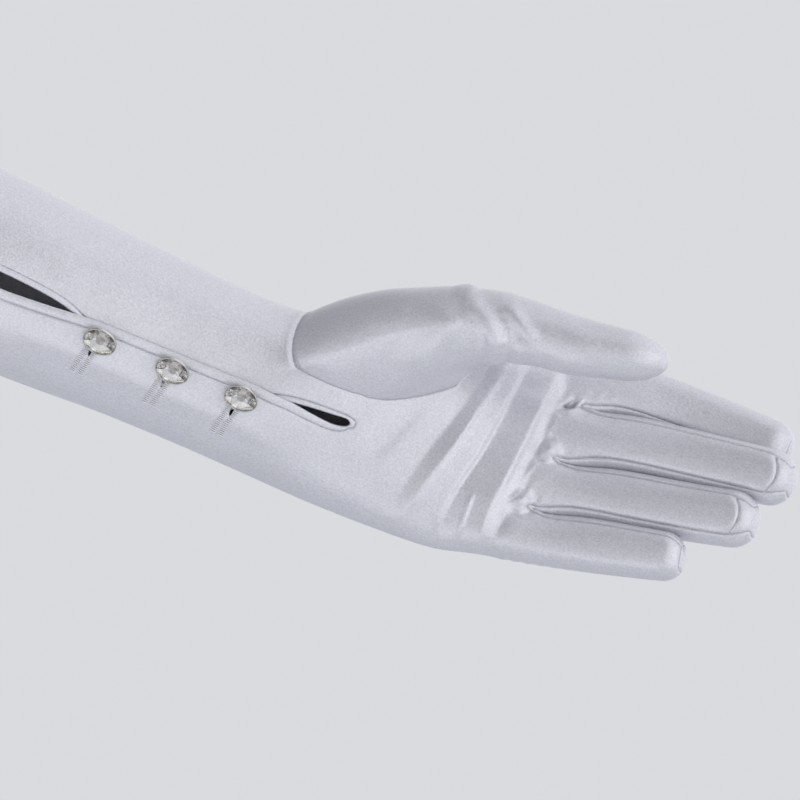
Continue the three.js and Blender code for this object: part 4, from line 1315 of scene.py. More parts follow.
class FineNet:
    """The subdivided net as arrays, with folds and seams, ready to be cut into pieces.

    Attributes:
        FAR_STEPS: Steps from a seam from which on a point counts as far.
        HEM_NEAR: How near the hem's line a point lies, in millimetres.
    """

    FAR_STEPS = 4
    HEM_NEAR = 0.3

    def __init__(self, net: GloveNet, finish: ClothFinish, slits: Sequence[Slit]) -> None:
        """Subdivide the net, shape its folds and seams, and part it along them.

        Args:
            net: The net of the whole glove.
            finish: How it becomes cloth.
            slits: The slits of the buttonholes.
        """
        self.net = net
        self.finish = finish
        self._subdivide()
        cuts = [self._slit_edges(slit) for slit in slits]
        self._find_seams()
        self._fold()
        self._sew()
        self.normals = self._normals()
        self._part(cuts)
        for slit in slits:
            self._open(slit)

    def _subdivide(self) -> None:
        """Subdivide the net and read the finer one."""
        mesh = bpy.data.meshes.new("net")
        mesh.from_pydata([tuple(spot) for spot in self.net.points], [], self.net.patches)
        for polygon, piece in zip(mesh.polygons, self.net.labels):
            polygon.material_index = piece.label
        for _ in Cloth:
            mesh.materials.append(None)
        for edge in mesh.edges:
            edge.use_seam = tuple(sorted(edge.vertices)) in self.net.seams
        holder = bpy.data.objects.new("net", mesh)
        bpy.context.scene.collection.objects.link(holder)
        modifier = holder.modifiers.new("smooth", "SUBSURF")
        modifier.levels = modifier.render_levels = self.finish.levels
        evaluated = holder.evaluated_get(bpy.context.evaluated_depsgraph_get())
        fine = evaluated.to_mesh()

        def read(items: Sequence, name: str, kind: type, wide: int = 1) -> Array:
            values = np.empty(len(items) * wide, dtype=kind)
            items.foreach_get(name, values)
            return values.reshape(-1, wide)

        self.spots = read(fine.vertices, "co", float, 3)
        self.quads = read(fine.loops, "vertex_index", np.int64).reshape(-1, 4)
        self.labels = read(fine.polygons, "material_index", np.int64).ravel()
        is_sewn = read(fine.edges, "use_seam", bool).ravel()
        self.sewn = read(fine.edges, "vertices", np.int64, 2)[is_sewn]
        evaluated.to_mesh_clear()
        bpy.data.objects.remove(holder)
        bpy.data.meshes.remove(mesh)

    def _normals(self) -> Array:
        """Return the outward direction at each point."""
        return unit(gathered(self.quads, len(self.spots), facing(self.spots, self.quads)))

    def _of(self, *pieces: Cloth) -> Array:
        """Return which points belong to any of some pieces."""
        found = np.zeros(len(self.spots), dtype=bool)
        found[self.quads[np.isin(self.labels, [piece.label for piece in pieces])]] = True
        return found

    def _find_seams(self) -> None:
        """Note how many steps each point lies from the nearest seam."""
        self.on_seam = sum(self._of(piece).astype(int) for piece in Cloth) > 1
        self.on_seam[self.sewn.ravel()] = True
        hem = np.abs(self.spots[:, 0] - self.finish.hem) < self.HEM_NEAR
        starts, ends = self.quads.ravel(), np.roll(self.quads, -1, axis=1).ravel()
        self.steps = np.where(self.on_seam | hem, 0, self.FAR_STEPS)
        for _ in range(self.FAR_STEPS - 1):
            for one, other in ((starts, ends), (ends, starts)):
                np.minimum.at(self.steps, one, self.steps[other] + 1)

    def _fold(self) -> None:
        """Push the palm and the thumb along their folds, and add the sleeve's slack."""
        finish, thumb = self.finish, self._of(Cloth.THUMB)
        for gather in GATHERS:
            self.spots += np.where(thumb[:, None], 0, gather.drawn(self.spots))
        self.normals = self._normals()
        lift = np.where(thumb, 0, Pleats().lift(self.spots))
        for fold in FOLDS:
            on_piece = thumb == (fold.piece is Cloth.THUMB)
            lift += np.where(on_piece, fold.lift(self.spots), 0)
        for gather in GATHERS:
            lift += np.where(thumb, 0, gather.lift(self.spots))
        for swell in SWELLS:
            lift += swell.lift(self.spots)
        reach = np.where(thumb, finish.thumb_reach, finish.palm_reach)
        lift *= np.clip((reach - self.normals[:, 1]) / finish.reach_fade, 0, 1)
        lift += Slack().lift(self.spots)
        self.spots += self.normals * lift[:, None]

    def _sew(self) -> None:
        """Draw the seams in: a valley with small puckers and a swell on either side."""
        finish, (x, _, z) = self.finish, self.spots.T
        turn = 2 * np.pi
        groove = np.where(self._of(Cloth.BINDING, *FOURCHETTES), finish.shallow, finish.groove)
        groove *= 1 + finish.pucker * np.sin(turn * (x + finish.skew * z) / finish.pitch)
        beside, shoulder = -finish.beside * groove, np.full(len(x), finish.shoulder)
        none = np.zeros(len(x))
        depth = np.choose(self.steps, [-groove, beside, shoulder, none, none])
        ahead = x - self.net.places[-1]
        near = np.exp(-np.clip(ahead, 0, None) / finish.ruffle_fade) * (ahead > 0)
        waves = np.sin(turn * x / finish.ruffle_pitch) * np.take(finish.ruffle_steps, self.steps)
        self.spots += self.normals * (depth + finish.ruffle * near * waves)[:, None]

    def _slit_edges(self, slit: Slit, near: float = 0.5, lift: float = 0.6) -> list[int]:
        """Return the flap's points under a slit, in order of their level.

        Args:
            slit: The slit.
            near: How near its row a point lies.
            lift: How far the flap at least lies over the sleeve's form.

        Returns:
            The points' numbers.
        """
        oval = self.net.arm.oval(slit.x)
        x, y, z = self.spots.T
        row = (np.abs(x - slit.x) < near) & (z < slit.top) & (z > slit.end) & (y < 0)
        found = [
            i for i in np.nonzero(row)[0] if y[i] < oval.on_face(oval.share_at(z[i]), 1).y - lift
        ]
        return sorted(found, key=lambda i: z[i])

    def _part(self, cuts: Sequence[Sequence[int]]) -> None:
        """Part the net along its sewn seams and the buttonholes' slits."""
        shape = bmesh.new()
        origin = shape.verts.layers.int.new("origin")
        verts = [shape.verts.new(spot) for spot in self.spots.tolist()]
        for i, vert in enumerate(verts):
            vert[origin] = i
        for quad in self.quads.tolist():
            shape.faces.new([verts[i] for i in quad])
        pairs = self.sewn.tolist() + [pair for cut in cuts for pair in zip(cut, cut[1:])]
        edges = [shape.edges.get((verts[a], verts[b])) for a, b in pairs]
        bmesh.ops.split_edges(shape, edges=[edge for edge in edges if edge])
        shape.verts.index_update()
        sources = np.array([vert[origin] for vert in shape.verts])
        self.quads = np.array([[vert.index for vert in face.verts] for face in shape.faces])
        shape.free()
        self.spots, self.normals = self.spots[sources], self.normals[sources]
        self.on_seam = self.on_seam[sources]
        self.slit = np.isin(sources, [i for cut in cuts for i in cut])

    def _open(self, slit: Slit, near: float = 0.6, least: float = 0.4) -> None:
        """Draw a slit's two edges apart.

        Args:
            slit: The slit.
            near: How near its row a point lies.
            least: How far to one side its patches' middles at least lie.
        """
        middles, count = self.spots[self.quads].mean(axis=1)[:, 0], len(self.spots)
        total = gathered(self.quads, count, middles)
        mean = total / np.maximum(gathered(self.quads, count, np.ones(len(middles))), 1)
        for i in np.nonzero(self.slit & (np.abs(self.spots[:, 0] - slit.x) < near))[0]:
            side = mean[i] - self.spots[i, 0]
            if abs(side) > least:
                self.spots[i, 0] += math.copysign(slit.half(self.spots[i, 2]), side)

    def piece(self, cloth: Cloth) -> tuple[Array, Array, Array]:
        """Cut one piece out of the net.

        Args:
            cloth: The piece.

        Returns:
            Its outer points, its quads, and the index of each point in the whole net.
        """
        quads = self.quads[self.labels == cloth.label]
        used, local = np.unique(quads, return_inverse=True)
        return self.spots[used].copy(), local.reshape(-1, 4), used


def mesh_piece(
    name: str, spots: Sequence, faces: Sequence, material: Material
) -> Piece:
    """Make a smooth piece of mesh.

    Args:
        name: Name of the piece.
        spots: Its points in metres.
        faces: Its faces.
        material: Its finish.

    Returns:
        The piece.
    """
    mesh = bpy.data.meshes.new(name)
    mesh.from_pydata(spots, [], faces)
    mesh.polygons.foreach_set("use_smooth", [True] * len(mesh.polygons))
    mesh.materials.append(material)
    mesh.update()
    piece = bpy.data.objects.new(name, mesh)
    bpy.context.scene.collection.objects.link(piece)
    return piece


class ClothPiece:
    """One piece of cloth as a closed thin shell."""

    def __init__(self, fine: FineNet, label: Cloth, material: Material) -> None:
        """Build the piece.

        Args:
            fine: The subdivided net.
            label: Which piece to cut.
            material: Its finish.
        """
        finish = fine.finish
        spots, quads, used = fine.piece(label)
        normals, count = fine.normals[used], len(spots)
        rim = self._rim(quads)
        border = np.unique(rim)
        shared = gathered(quads, count, np.ones((len(quads), 1)))
        inward = gathered(quads, count, spots[quads].mean(axis=1)) - shared * spots
        inward = unit(inward - normals * (inward * normals).sum(axis=1, keepdims=True))
        seam = border[fine.on_seam[used[border]]]
        spots[seam] += inward[seam] * (finish.gap / 2)
        if label is Cloth.BINDING:
            swell = np.full((count, 1), finish.bound)
            swell[border] = 0
            spots += normals * swell
        faces = quads.tolist() + (quads[:, ::-1] + count).tolist()
        faces += [(b, a, a + count, b + count) for a, b in rim]
        shell = (np.vstack([spots, spots - normals * finish.wall]) * MM).tolist()
        self.piece = mesh_piece(f"cloth_{label.value}", shell, faces, material)
        self.area = float(np.linalg.norm(facing(spots, quads), axis=1).sum() / 2 * MM * MM)
        self.outer = (spots, quads)

    @staticmethod
    def _rim(quads: Array) -> Array:
        """Return the border edges as pairs of points, in the quads' own direction."""
        starts, ends = quads.ravel().tolist(), np.roll(quads, -1, axis=1).ravel().tolist()
        known = set(zip(ends, starts))
        return np.array([pair for pair in zip(starts, ends) if pair not in known])


class Wire:
    """A number socket of a node tree, whose arithmetic adds Math nodes."""

    def __init__(self, nodes: "Nodes", socket: Socket) -> None:
        """Wrap a socket.

        Args:
            nodes: The node tree that it belongs to.
            socket: The output socket.
        """
        self.nodes = nodes
        self.socket = socket

    def _math(self, kind: str, first: "Wire | float", second: "Wire | float") -> "Wire":
        """Add a Math node."""
        node = self.nodes.add("ShaderNodeMath", {"operation": kind}, {0: first, 1: second})
        return Wire(self.nodes, node.outputs[0])

    def __add__(self, other: "Wire | float") -> "Wire":
        """Add a number or wire."""
        return self._math("ADD", self, other)

    def __sub__(self, other: "Wire | float") -> "Wire":
        """Take away a number or wire."""
        return self._math("SUBTRACT", self, other)

    def __mul__(self, other: "Wire | float") -> "Wire":
        """Multiply by a number or wire."""
        return self._math("MULTIPLY", self, other)


class Nodes:
    """A node tree under construction."""

    def __init__(self, tree: bpy.types.NodeTree) -> None:
        """Start with an empty tree.

        Args:
            tree: The tree of a material or world.
        """
        self.tree = tree
        tree.nodes.clear()

    def add(
        self, kind: str, settings: dict | None = None, inputs: dict | None = None
    ) -> bpy.types.Node:
        """Add a node.

        Args:
            kind: The node's type.
            settings: Its own settings, set before its sockets.
            inputs: Values or links by socket name or number.

        Returns:
            The node.
        """
        node = self.tree.nodes.new(kind)
        for key, value in (settings or {}).items():
            setattr(node, key, value)
        for key, value in (inputs or {}).items():
            self.join(node.inputs[key], value)
        return node

    def join(self, target: Socket, value: object) -> None:
        """Link a wire or socket to a socket, or set its value."""
        if isinstance(value, Wire):
            value = value.socket
        if isinstance(value, Socket):
            self.tree.links.new(value, target)
        else:
            target.default_value = value


class Shader(Nodes):
    """A material under construction, with one Principled shader."""

    def __init__(self, name: str) -> None:
        """Start a material.

        Args:
            name: Name of the material.
        """
        self.material = bpy.data.materials.new(name)
        self.material.use_nodes = True
        super().__init__(self.material.node_tree)
        self.surface = self.add("ShaderNodeBsdfPrincipled")
        self.add("ShaderNodeOutputMaterial", None, {0: self.surface.outputs[0]})
        self.place = self.add("ShaderNodeTexCoord").outputs["Object"]

    def noise(self, scale: Triple, detail: float = 2.0) -> Wire:
        """Return noise at a scale, in waves to the metre along each axis."""
        stretched = self.add(
            "ShaderNodeVectorMath", {"operation": "MULTIPLY"}, {0: self.place, 1: scale}
        )
        node = self.add(
            "ShaderNodeTexNoise",
            {"noise_dimensions": "3D"},
            {"Vector": stretched.outputs[0], "Scale": 1.0, "Detail": detail, "Roughness": 0.5},
        )
        return Wire(self, node.outputs[0])

    def blend(self, share: Wire, low: Triple, high: Triple) -> Socket:
        """Return a colour between two by a share."""
        inputs = {0: share, 6: (*low, 1.0), 7: (*high, 1.0)}
        return self.add("ShaderNodeMix", {"data_type": "RGBA"}, inputs).outputs[2]

    def bump(
        self, height: Wire, strength: float, distance: float, **below: Socket
    ) -> Socket:
        """Return a bumped normal, on top of another one where Normal is given."""
        inputs = {"Height": height, "Strength": strength, "Distance": distance, **below}
        return self.add("ShaderNodeBump", None, inputs).outputs[0]

    def set(self, **values: object) -> Material:
        """Set or link the Principled shader's sockets, with _ in place of a space.

        Args:
            **values: Value, wire or socket of each.

        Returns:
            The material.
        """
        for key, value in values.items():
            self.join(self.surface.inputs[key.replace("_", " ")], value)
        return self.material


def scaled(colour: Triple, share: float) -> Triple:
    """Return a darker or brighter colour."""
    return tuple(min(part * share, 1.0) for part in colour)


@dataclass(frozen=True)
class SatinFinish:
    """Cool white satin.

    Attributes:
        light: Colour of the cloth.
        shade: Colour where the weave lies a little darker.
        gloss: How much of it gleams as smooth thread does.
        roughness: How broad its gloss is, and how much the weave and the clouds change it.
        sheen: Weight and breadth of the soft gloss at a grazing angle.
        weave: Waves to the metre of the weave along and across the cloth.
        clouds: The same for its broad unevenness.
        slack: The same for its small waves.
        tone: How much the weave and the clouds change its colour, and the middle of both.
        weave_bump: Strength and height in metres of the weave.
        slack_bump: The same for the small waves.
    """

    light: Triple = (0.79, 0.785, 0.835)
    shade: Triple = (0.61, 0.605, 0.65)
    gloss: float = 0.42
    roughness: Triple = (0.35, 0.12, 0.06)
    sheen: Pair = (0.08, 0.3)
    weave: Triple = (1300, 1900, 1900)
    clouds: Triple = (28, 46, 46)
    slack: Triple = (90, 170, 170)
    tone: Triple = (1.7, 0.3, 0.35)
    weave_bump: Pair = (0.4, 0.0002)
    slack_bump: Pair = (0.2, 0.001)

    def make(self, name: str) -> Material:
        """Return the material."""
        shader = Shader(name)
        weave, clouds = shader.noise(self.weave, 1.0), shader.noise(self.clouds, 3.0)
        by_weave, by_clouds, middle = self.tone
        tone = (weave - 0.5) * by_weave + clouds * by_clouds + middle
        rough, rough_weave, rough_clouds = self.roughness
        slack = shader.bump(shader.noise(self.slack), *self.slack_bump)
        return shader.set(
            Base_Color=shader.blend(tone, self.shade, self.light),
            Metallic=self.gloss,
            Roughness=(weave - 0.5) * rough_weave + rough + (clouds - 0.5) * rough_clouds,
            Sheen_Weight=self.sheen[0],
            Sheen_Roughness=self.sheen[1],
            Normal=shader.bump(weave, *self.weave_bump, Normal=slack),
        )


@dataclass(frozen=True)
class ThreadFinish:
    """White embroidery thread.

    Attributes:
        colour: Its colour.
        darker: Share of that colour painted as shade between its strands, where the twist's bump
            lies low.
        twist: Waves to the metre of its twist along each axis.
        rough: How much the twist changes its roughness, and the least of it.
        sheen: Weight of the soft gloss at a grazing angle.
        relief: Strength and height in metres of the twist.
    """

    colour: Triple = (0.88, 0.88, 0.91)
    darker: float = 0.82
    twist: Triple = (5200, 2600, 5200)
    rough: Pair = (0.2, 0.4)
    sheen: float = 0.3
    relief: Pair = (0.5, 0.0001)

    def make(self, name: str) -> Material:
        """Return the material."""
        shader = Shader(name)
        twist = shader.noise(self.twist, 1.0)
        return shader.set(
            # Painted shade: the colour darkens where the twist's bump lies low, between the
            # strands.
            Base_Color=shader.blend(twist, scaled(self.colour, self.darker), self.colour),
            Roughness=twist * self.rough[0] + self.rough[1],
            Sheen_Weight=self.sheen,
            Normal=shader.bump(twist, *self.relief),
        )


@dataclass(frozen=True)
class MetalFinish:
    """Dark silver with a worn polish.

    Attributes:
        colour: Its colour.
        brighter: How much brighter it is where it is worn.
        wear: Waves to the metre of its wear along each axis.
        scratches: The same for its scratches.
        rough: How much the wear and the scratches change its roughness, and the least of it.
        relief: Strength and height in metres of the scratches.
    """

    colour: Triple = (0.5, 0.48, 0.455)
    brighter: float = 1.6
    wear: Triple = (420, 420, 420)
    scratches: Triple = (900, 5200, 900)
    rough: Triple = (0.14, 0.1, 0.08)
    relief: Pair = (0.08, 0.0001)

    def make(self, name: str) -> Material:
        """Return the material."""
        shader = Shader(name)
        wear, scratches = shader.noise(self.wear, 4.0), shader.noise(self.scratches)
        by_wear, by_scratches, least = self.rough
        return shader.set(
            Base_Color=shader.blend(wear, self.colour, scaled(self.colour, self.brighter)),
            Metallic=1.0,
            Roughness=wear * by_wear + scratches * by_scratches + least,
            Normal=shader.bump(scratches, *self.relief),
        )


@dataclass(frozen=True)
class StoneFinish:
    """Clear cut glass: its colour, the waves to the metre of its haze, roughness and index."""

    colour: Triple = (0.97, 0.97, 0.965)
    haze: Triple = (900, 900, 900)
    rough: float = 0.02
    index: float = 1.6

    def make(self, name: str) -> Material:
        """Return the material."""
        shader = Shader(name)
        return shader.set(
            Base_Color=(*self.colour, 1.0),
            Roughness=shader.noise(self.haze) * self.rough,
            Transmission_Weight=1.0,
            IOR=self.index,
        )


@dataclass(frozen=True)
class FoilFinish:
    """The silvered underside of a cut stone.

    Attributes:
        colour: Its colour.
        duller: Share of that colour where it is duller.
        haze: Waves to the metre of its haze along each axis.
        rough: How much the haze changes its roughness, and the least of it.
    """

    colour: Triple = (1.0, 0.985, 0.96)
    duller: float = 0.88
    haze: Triple = (700, 700, 700)
    rough: Pair = (0.1, 0.12)

    def make(self, name: str) -> Material:
        """Return the material."""
        shader = Shader(name)
        haze = shader.noise(self.haze)
        return shader.set(
            Base_Color=shader.blend(haze, scaled(self.colour, self.duller), self.colour),
            Metallic=1.0,
            Roughness=haze * self.rough[0] + self.rough[1],
        )


class Modeller:
    """Hard pieces modelled at the origin with Blender's own operators, along +Z."""

    @staticmethod
    def choose(*pieces: Piece) -> None:
        """Select some pieces only, the first of them as the active one."""
        if bpy.context.object and bpy.context.object.mode != "OBJECT":
            bpy.ops.object.mode_set(mode="OBJECT")
        bpy.ops.object.select_all(action="DESELECT")
        for piece in reversed(pieces):
            piece.select_set(True)
            bpy.context.view_layer.objects.active = piece

    @classmethod
    def cylinder(
        cls, radius: float, depth: float, sides: int, low: float = 0.0
    ) -> Piece:
        """Add a cylinder that stands on a level, in millimetres."""
        cls.choose()
        bpy.ops.mesh.primitive_cylinder_add(
            vertices=sides,
            radius=radius * MM,
            depth=depth * MM,
            location=(0, 0, (low + depth / 2) * MM),
        )
        bpy.ops.object.transform_apply(location=True)
        return bpy.context.object

    @classmethod
    def edit(
        cls, piece: Piece, chosen: Callable[[bpy.types.MeshPolygon], bool]
    ) -> None:
        """Enter edit mode on a piece with some of its faces selected."""
        cls.choose(piece)
        bpy.ops.object.mode_set(mode="EDIT")
        bpy.ops.mesh.select_mode(type="FACE")
        bpy.ops.mesh.select_all(action="DESELECT")
        bpy.ops.object.mode_set(mode="OBJECT")
        for polygon in piece.data.polygons:
            polygon.select = chosen(polygon)
        bpy.ops.object.mode_set(mode="EDIT")

    @classmethod
    def bevel(cls, piece: Piece, width: float, sharp: float = 30) -> None:
        """Bevel a piece's sharp edges by a width in millimetres."""
        cls.choose(piece)
        modifier = piece.modifiers.new("bevel", "BEVEL")
        modifier.width = width * MM
        modifier.segments = 2
        modifier.limit_method = "ANGLE"
        modifier.angle_limit = math.radians(sharp)
        bpy.ops.object.modifier_apply(modifier=modifier.name)

    @classmethod
    def join(cls, *pieces: Piece) -> Piece:
        """Join pieces into the first one."""
        cls.choose(*pieces)
        bpy.ops.object.join()
        return bpy.context.object

    @staticmethod
    def settle(
        piece: Piece, name: str, place: Matrix, *materials: Material
    ) -> Piece:
        """Move a finished piece's mesh to its place and give it a name and its materials."""
        piece.data.transform(place)
        piece.name = piece.data.name = name
        piece.data.materials.clear()
        for material in materials:
            piece.data.materials.append(material)
        piece.data.update()
        return piece


def turned(direction: Vector) -> Matrix:
    """Return the turn from straight up to a direction."""
    return UP.rotation_difference(direction).to_matrix().to_4x4()


@dataclass(frozen=True)
class FacetRow:
    """A row of facets: how many, their tilt, the point they pass, and their turn."""

    count: int
    tilt: float
    radius: float
    level: float
    turn: float


@dataclass(frozen=True)
class Button:
    """A shank button: a metal setting and its round cut stone.

    Attributes:
        number: Which button, from the cuff.
        x: Place along the sleeve.
        z: Level seen from the palm side.
        radius: Radius of the setting.
        reach: How far the cup's middle stands off the cloth.
        lean: How far the face leans down, in degrees.
        lip: Low and high level of the lip.
        below: The cup's outside under the lip, as radius and level of each ring.
        recess: The cup's inside, as radius and level of each ring.
        sides: Sides of the cup and of the stone's blank.
        rounding: Width of the cup's rounded edges.
        shank: Radius and sides of the shank, and the width of its rounded edges.
        sink: How far the shank runs into the cup.
        foot: How far its foot lies below the button's level, and how far it ends off the cloth.
        blank: Radius, lowest level and height of the stone's blank.
        seat: Level of the stone in the cup.
        facets: Rows of facets of the stone.
    """

    number: int
    x: float
    z: float
    radius: float = 5.8
    reach: float = 7.2
    lean: float = 46
    lip: Pair = (0.5, 1.3)
    below: tuple[Pair, ...] = ((5.5, 0.5), (5.5, 0.3), (4.7, -0.5), (3.1, -1.35), (1.6, -1.7))
    recess: tuple[Pair, ...] = ((5.45, 1.3), (5.35, 0.65), (4.2, -0.3), (2.2, -0.9))
    sides: int = 64
    rounding: float = 0.1
    shank: tuple[float, int, float] = (0.85, 20, 0.25)
    sink: float = 0.5
    foot: Pair = (0.3, 0.35)
    blank: Triple = (5.3, -2.2, 3.9)
    seat: float = 0.75
    facets: tuple[FacetRow, ...] = (
        FacetRow(8, 32, 5.3, 0.28, 0),
        FacetRow(16, 41, 5.33, 0.24, 0.5),
        FacetRow(8, 20, 3.3, 1.5, 0.5),
        FacetRow(8, 157, 5.3, -0.05, 0),
        FacetRow(16, 150, 5.33, -0.05, 0.5),
    )

    def cloth(self, arm: ArmForm, z: float) -> Vector:
        """Return the cloth's point under the button at a level."""
        oval = arm.oval(self.x)
        return oval.on_face(oval.share_at(z), 1)

    def place(self, arm: ArmForm) -> Matrix:
        """Return the matrix from the modelling axes to the cup."""
        lean = math.radians(self.lean)
        out = Vector((0, -math.cos(lean), -math.sin(lean)))
        spot = self.cloth(arm, self.z) + out * self.reach
        spot.z = self.z
        return Matrix.Translation(spot * MM) @ turned(out)

    def build_setting(self, arm: ArmForm, metal: Material) -> Piece:
        """Build the cup, and the shank down to the cloth.

        Args:
            arm: Form of the sleeve that it stands on.
            metal: Its finish.

        Returns:
            The setting.
        """
        low, high = self.lip
        cup = Modeller.cylinder(self.radius, high - low, self.sides, low)
        for side, rings in ((-1, self.below), (1, self.recess)):
            Modeller.edit(cup, lambda face, side=side: face.normal.z * side > FLAT)
            bpy.ops.mesh.inset(thickness=(self.radius - rings[0][0]) * MM)
            for (radius, level), (next_radius, next_level) in zip(rings, rings[1:]):
                rise = (0, 0, (next_level - level) * MM)
                bpy.ops.mesh.extrude_region_move(TRANSFORM_OT_translate={"value": rise})
                share = next_radius / radius
                bpy.ops.transform.resize(value=(share, share, 1), center_override=(0, 0, 0))
        Modeller.bevel(cup, self.rounding)
        place, (down, off) = self.place(arm), self.foot
        foot = place.inverted() @ (self.cloth(arm, self.z - down) * MM) / MM
        top = UP * (self.below[-1][1] + self.sink)
        radius, sides, edge = self.shank
        rod = Modeller.cylinder(radius, (foot - top).length - off, sides)
        Modeller.bevel(rod, edge)
        rod.data.transform(Matrix.Translation(top * MM) @ turned(foot - top))
        setting = Modeller.join(cup, rod)
        for polygon in setting.data.polygons:
            polygon.use_smooth = True
        return Modeller.settle(setting, f"setting_{self.number}", place, metal)

    def build_stone(
        self, arm: ArmForm, glass: Material, foil: Material
    ) -> Piece:
        """Cut the stone from a round blank, one facet at a time.

        Args:
            arm: Form of the sleeve that it stands on.
            glass: Finish of its crown.
            foil: Finish of its silvered underside.

        Returns:
            The stone.
        """
        radius, low, height = self.blank
        stone = Modeller.cylinder(radius, height, self.sides, low)
        Modeller.edit(stone, lambda face: True)
        for row in self.facets:
            tilt = math.radians(row.tilt)
            for i in range(row.count):
                angle = 2 * math.pi * (i + row.turn) / row.count
                flat = Vector((math.cos(angle), math.sin(angle), 0))
                facing_way = flat * math.sin(tilt) + UP * math.cos(tilt)
                spot = (flat * row.radius + UP * row.level) * MM
                bpy.ops.mesh.select_all(action="SELECT")
                bpy.ops.mesh.bisect(
                    plane_co=spot, plane_no=facing_way, use_fill=True, clear_outer=True
                )
        Modeller.choose(stone)
        under = [polygon.normal.z < -TILTED for polygon in stone.data.polygons]
        place = self.place(arm) @ Matrix.Translation(UP * (self.seat * MM))
        Modeller.settle(stone, f"cut_stone_{self.number}", place, glass, foil)
        stone.data.polygons.foreach_set("material_index", under)
        return stone


@dataclass(frozen=True)
class Buttonhole:
    """An embroidered buttonhole in the opening's outer flap.

    Attributes:
        slit: The slit that the shank passes.
        start: Level where the stitches begin.
        end: Level where they end.
        half: Half width of the embroidery.
        inner: Half width of the gap between its two columns.
        step: Distance between two stitches.
        drift: How far its lower end lies nearer the cuff.
        sway: How far the outer ends sway, and by how much of a turn from one to the next.
        slant: How far the stitches' four ends lie over or under their level.
    """

    slit: Slit
    start: float = -9.0
    end: float = -20.6
    half: float = 2.6
    inner: float = 0.16
    step: float = 0.66
    drift: float = 1.8
    sway: Pair = (0.1, 2.4)
    slant: tuple[float, float, float, float] = (0.12, -0.1, 0.0, -0.16)

    def stitches(self) -> Iterable[tuple[Pair, Pair]]:
        """Yield each stitch's two ends as (x, z)."""
        for i in range(int((self.start - self.end) / self.step)):
            z = self.start - i * self.step
            x = self.slit.x - self.drift * smooth((self.start - z) / (self.start - self.end))
            inner = self.inner + (self.slit.half(z) if z > self.slit.end else 0.0)
            sway = self.sway[0] * math.sin(i * self.sway[1])
            levels = [z + slant for slant in self.slant]
            yield (x - self.half + sway, levels[0]), (x - inner, levels[1])
            yield (x + inner, levels[2]), (x + self.half + sway, levels[3])


@dataclass
class Embroidery:
    """Threads laid on the cloth, built as one piece of mesh.

    Attributes:
        name: Name of the piece.
        surface: The cloth to lie on, in millimetres.
        radius: Radius of the thread.
        sides: Sides of the thread's section.
        steps: Steps along a stitch.
        arch: How high a stitch's middle stands over its ends.
        sink: How deep it lies in the cloth.
        thin: Share of the radius that is left at its ends.
    """

    name: str
    surface: BVHTree
    radius: float = 0.19
    sides: int = 6
    steps: int = 4
    arch: float = 0.34
    sink: float = 0.02
    thin: float = 0.55
    spots: list[Vector] = field(default_factory=list)
    faces: list[tuple[int, ...]] = field(default_factory=list)

    def lay(self, start: Pair, end: Pair) -> None:
        """Lay one stitch between two places of the cloth.

        Args:
            start: Its first end as (x, z).
            end: Its last end as (x, z).
        """
        line = []
        for i in range(self.steps + 1):
            share = i / self.steps
            x, z = mix(start[0], end[0], share), mix(start[1], end[1], share)
            hit, out, _, _ = self.surface.ray_cast(Vector((x, -BEFORE, z)), Vector((0, 1, 0)))
            if hit is None:
                return
            if out.y >= 0:
                out.negate()
            line.append((hit + out * (self.arch * math.sin(math.pi * share) - self.sink), out))
        rings = []
        for i, (spot, out) in enumerate(line):
            ahead = line[min(i + 1, self.steps)][0] - line[max(i - 1, 0)][0]
            side = ahead.cross(out).normalized()
            up = side.cross(ahead).normalized()
            radius = self.radius * (self.thin if i in (0, self.steps) else 1.0)
            rings.append([len(self.spots) + s for s in range(self.sides)])
            for s in range(self.sides):
                angle = 2 * math.pi * s / self.sides
                across, over = radius * math.cos(angle), radius * math.sin(angle)
                self.spots.append(spot + side * across + up * over)
        for ring, after in zip(rings, rings[1:]):
            for a, b, c, d in zip(ring, ring[1:] + ring[:1], after[1:] + after[:1], after):
                self.faces.append((a, b, c, d))
        self.faces += [tuple(rings[0][::-1]), tuple(rings[-1])]

    def finish(self, material: Material) -> Piece:
        """Make the piece."""
        spots = [tuple(spot * MM) for spot in self.spots]
        piece = mesh_piece(self.name, spots, self.faces, material)
        shape = bmesh.new()
        shape.from_mesh(piece.data)
        bmesh.ops.recalc_face_normals(shape, faces=shape.faces)
        shape.to_mesh(piece.data)
        shape.free()
        return piece


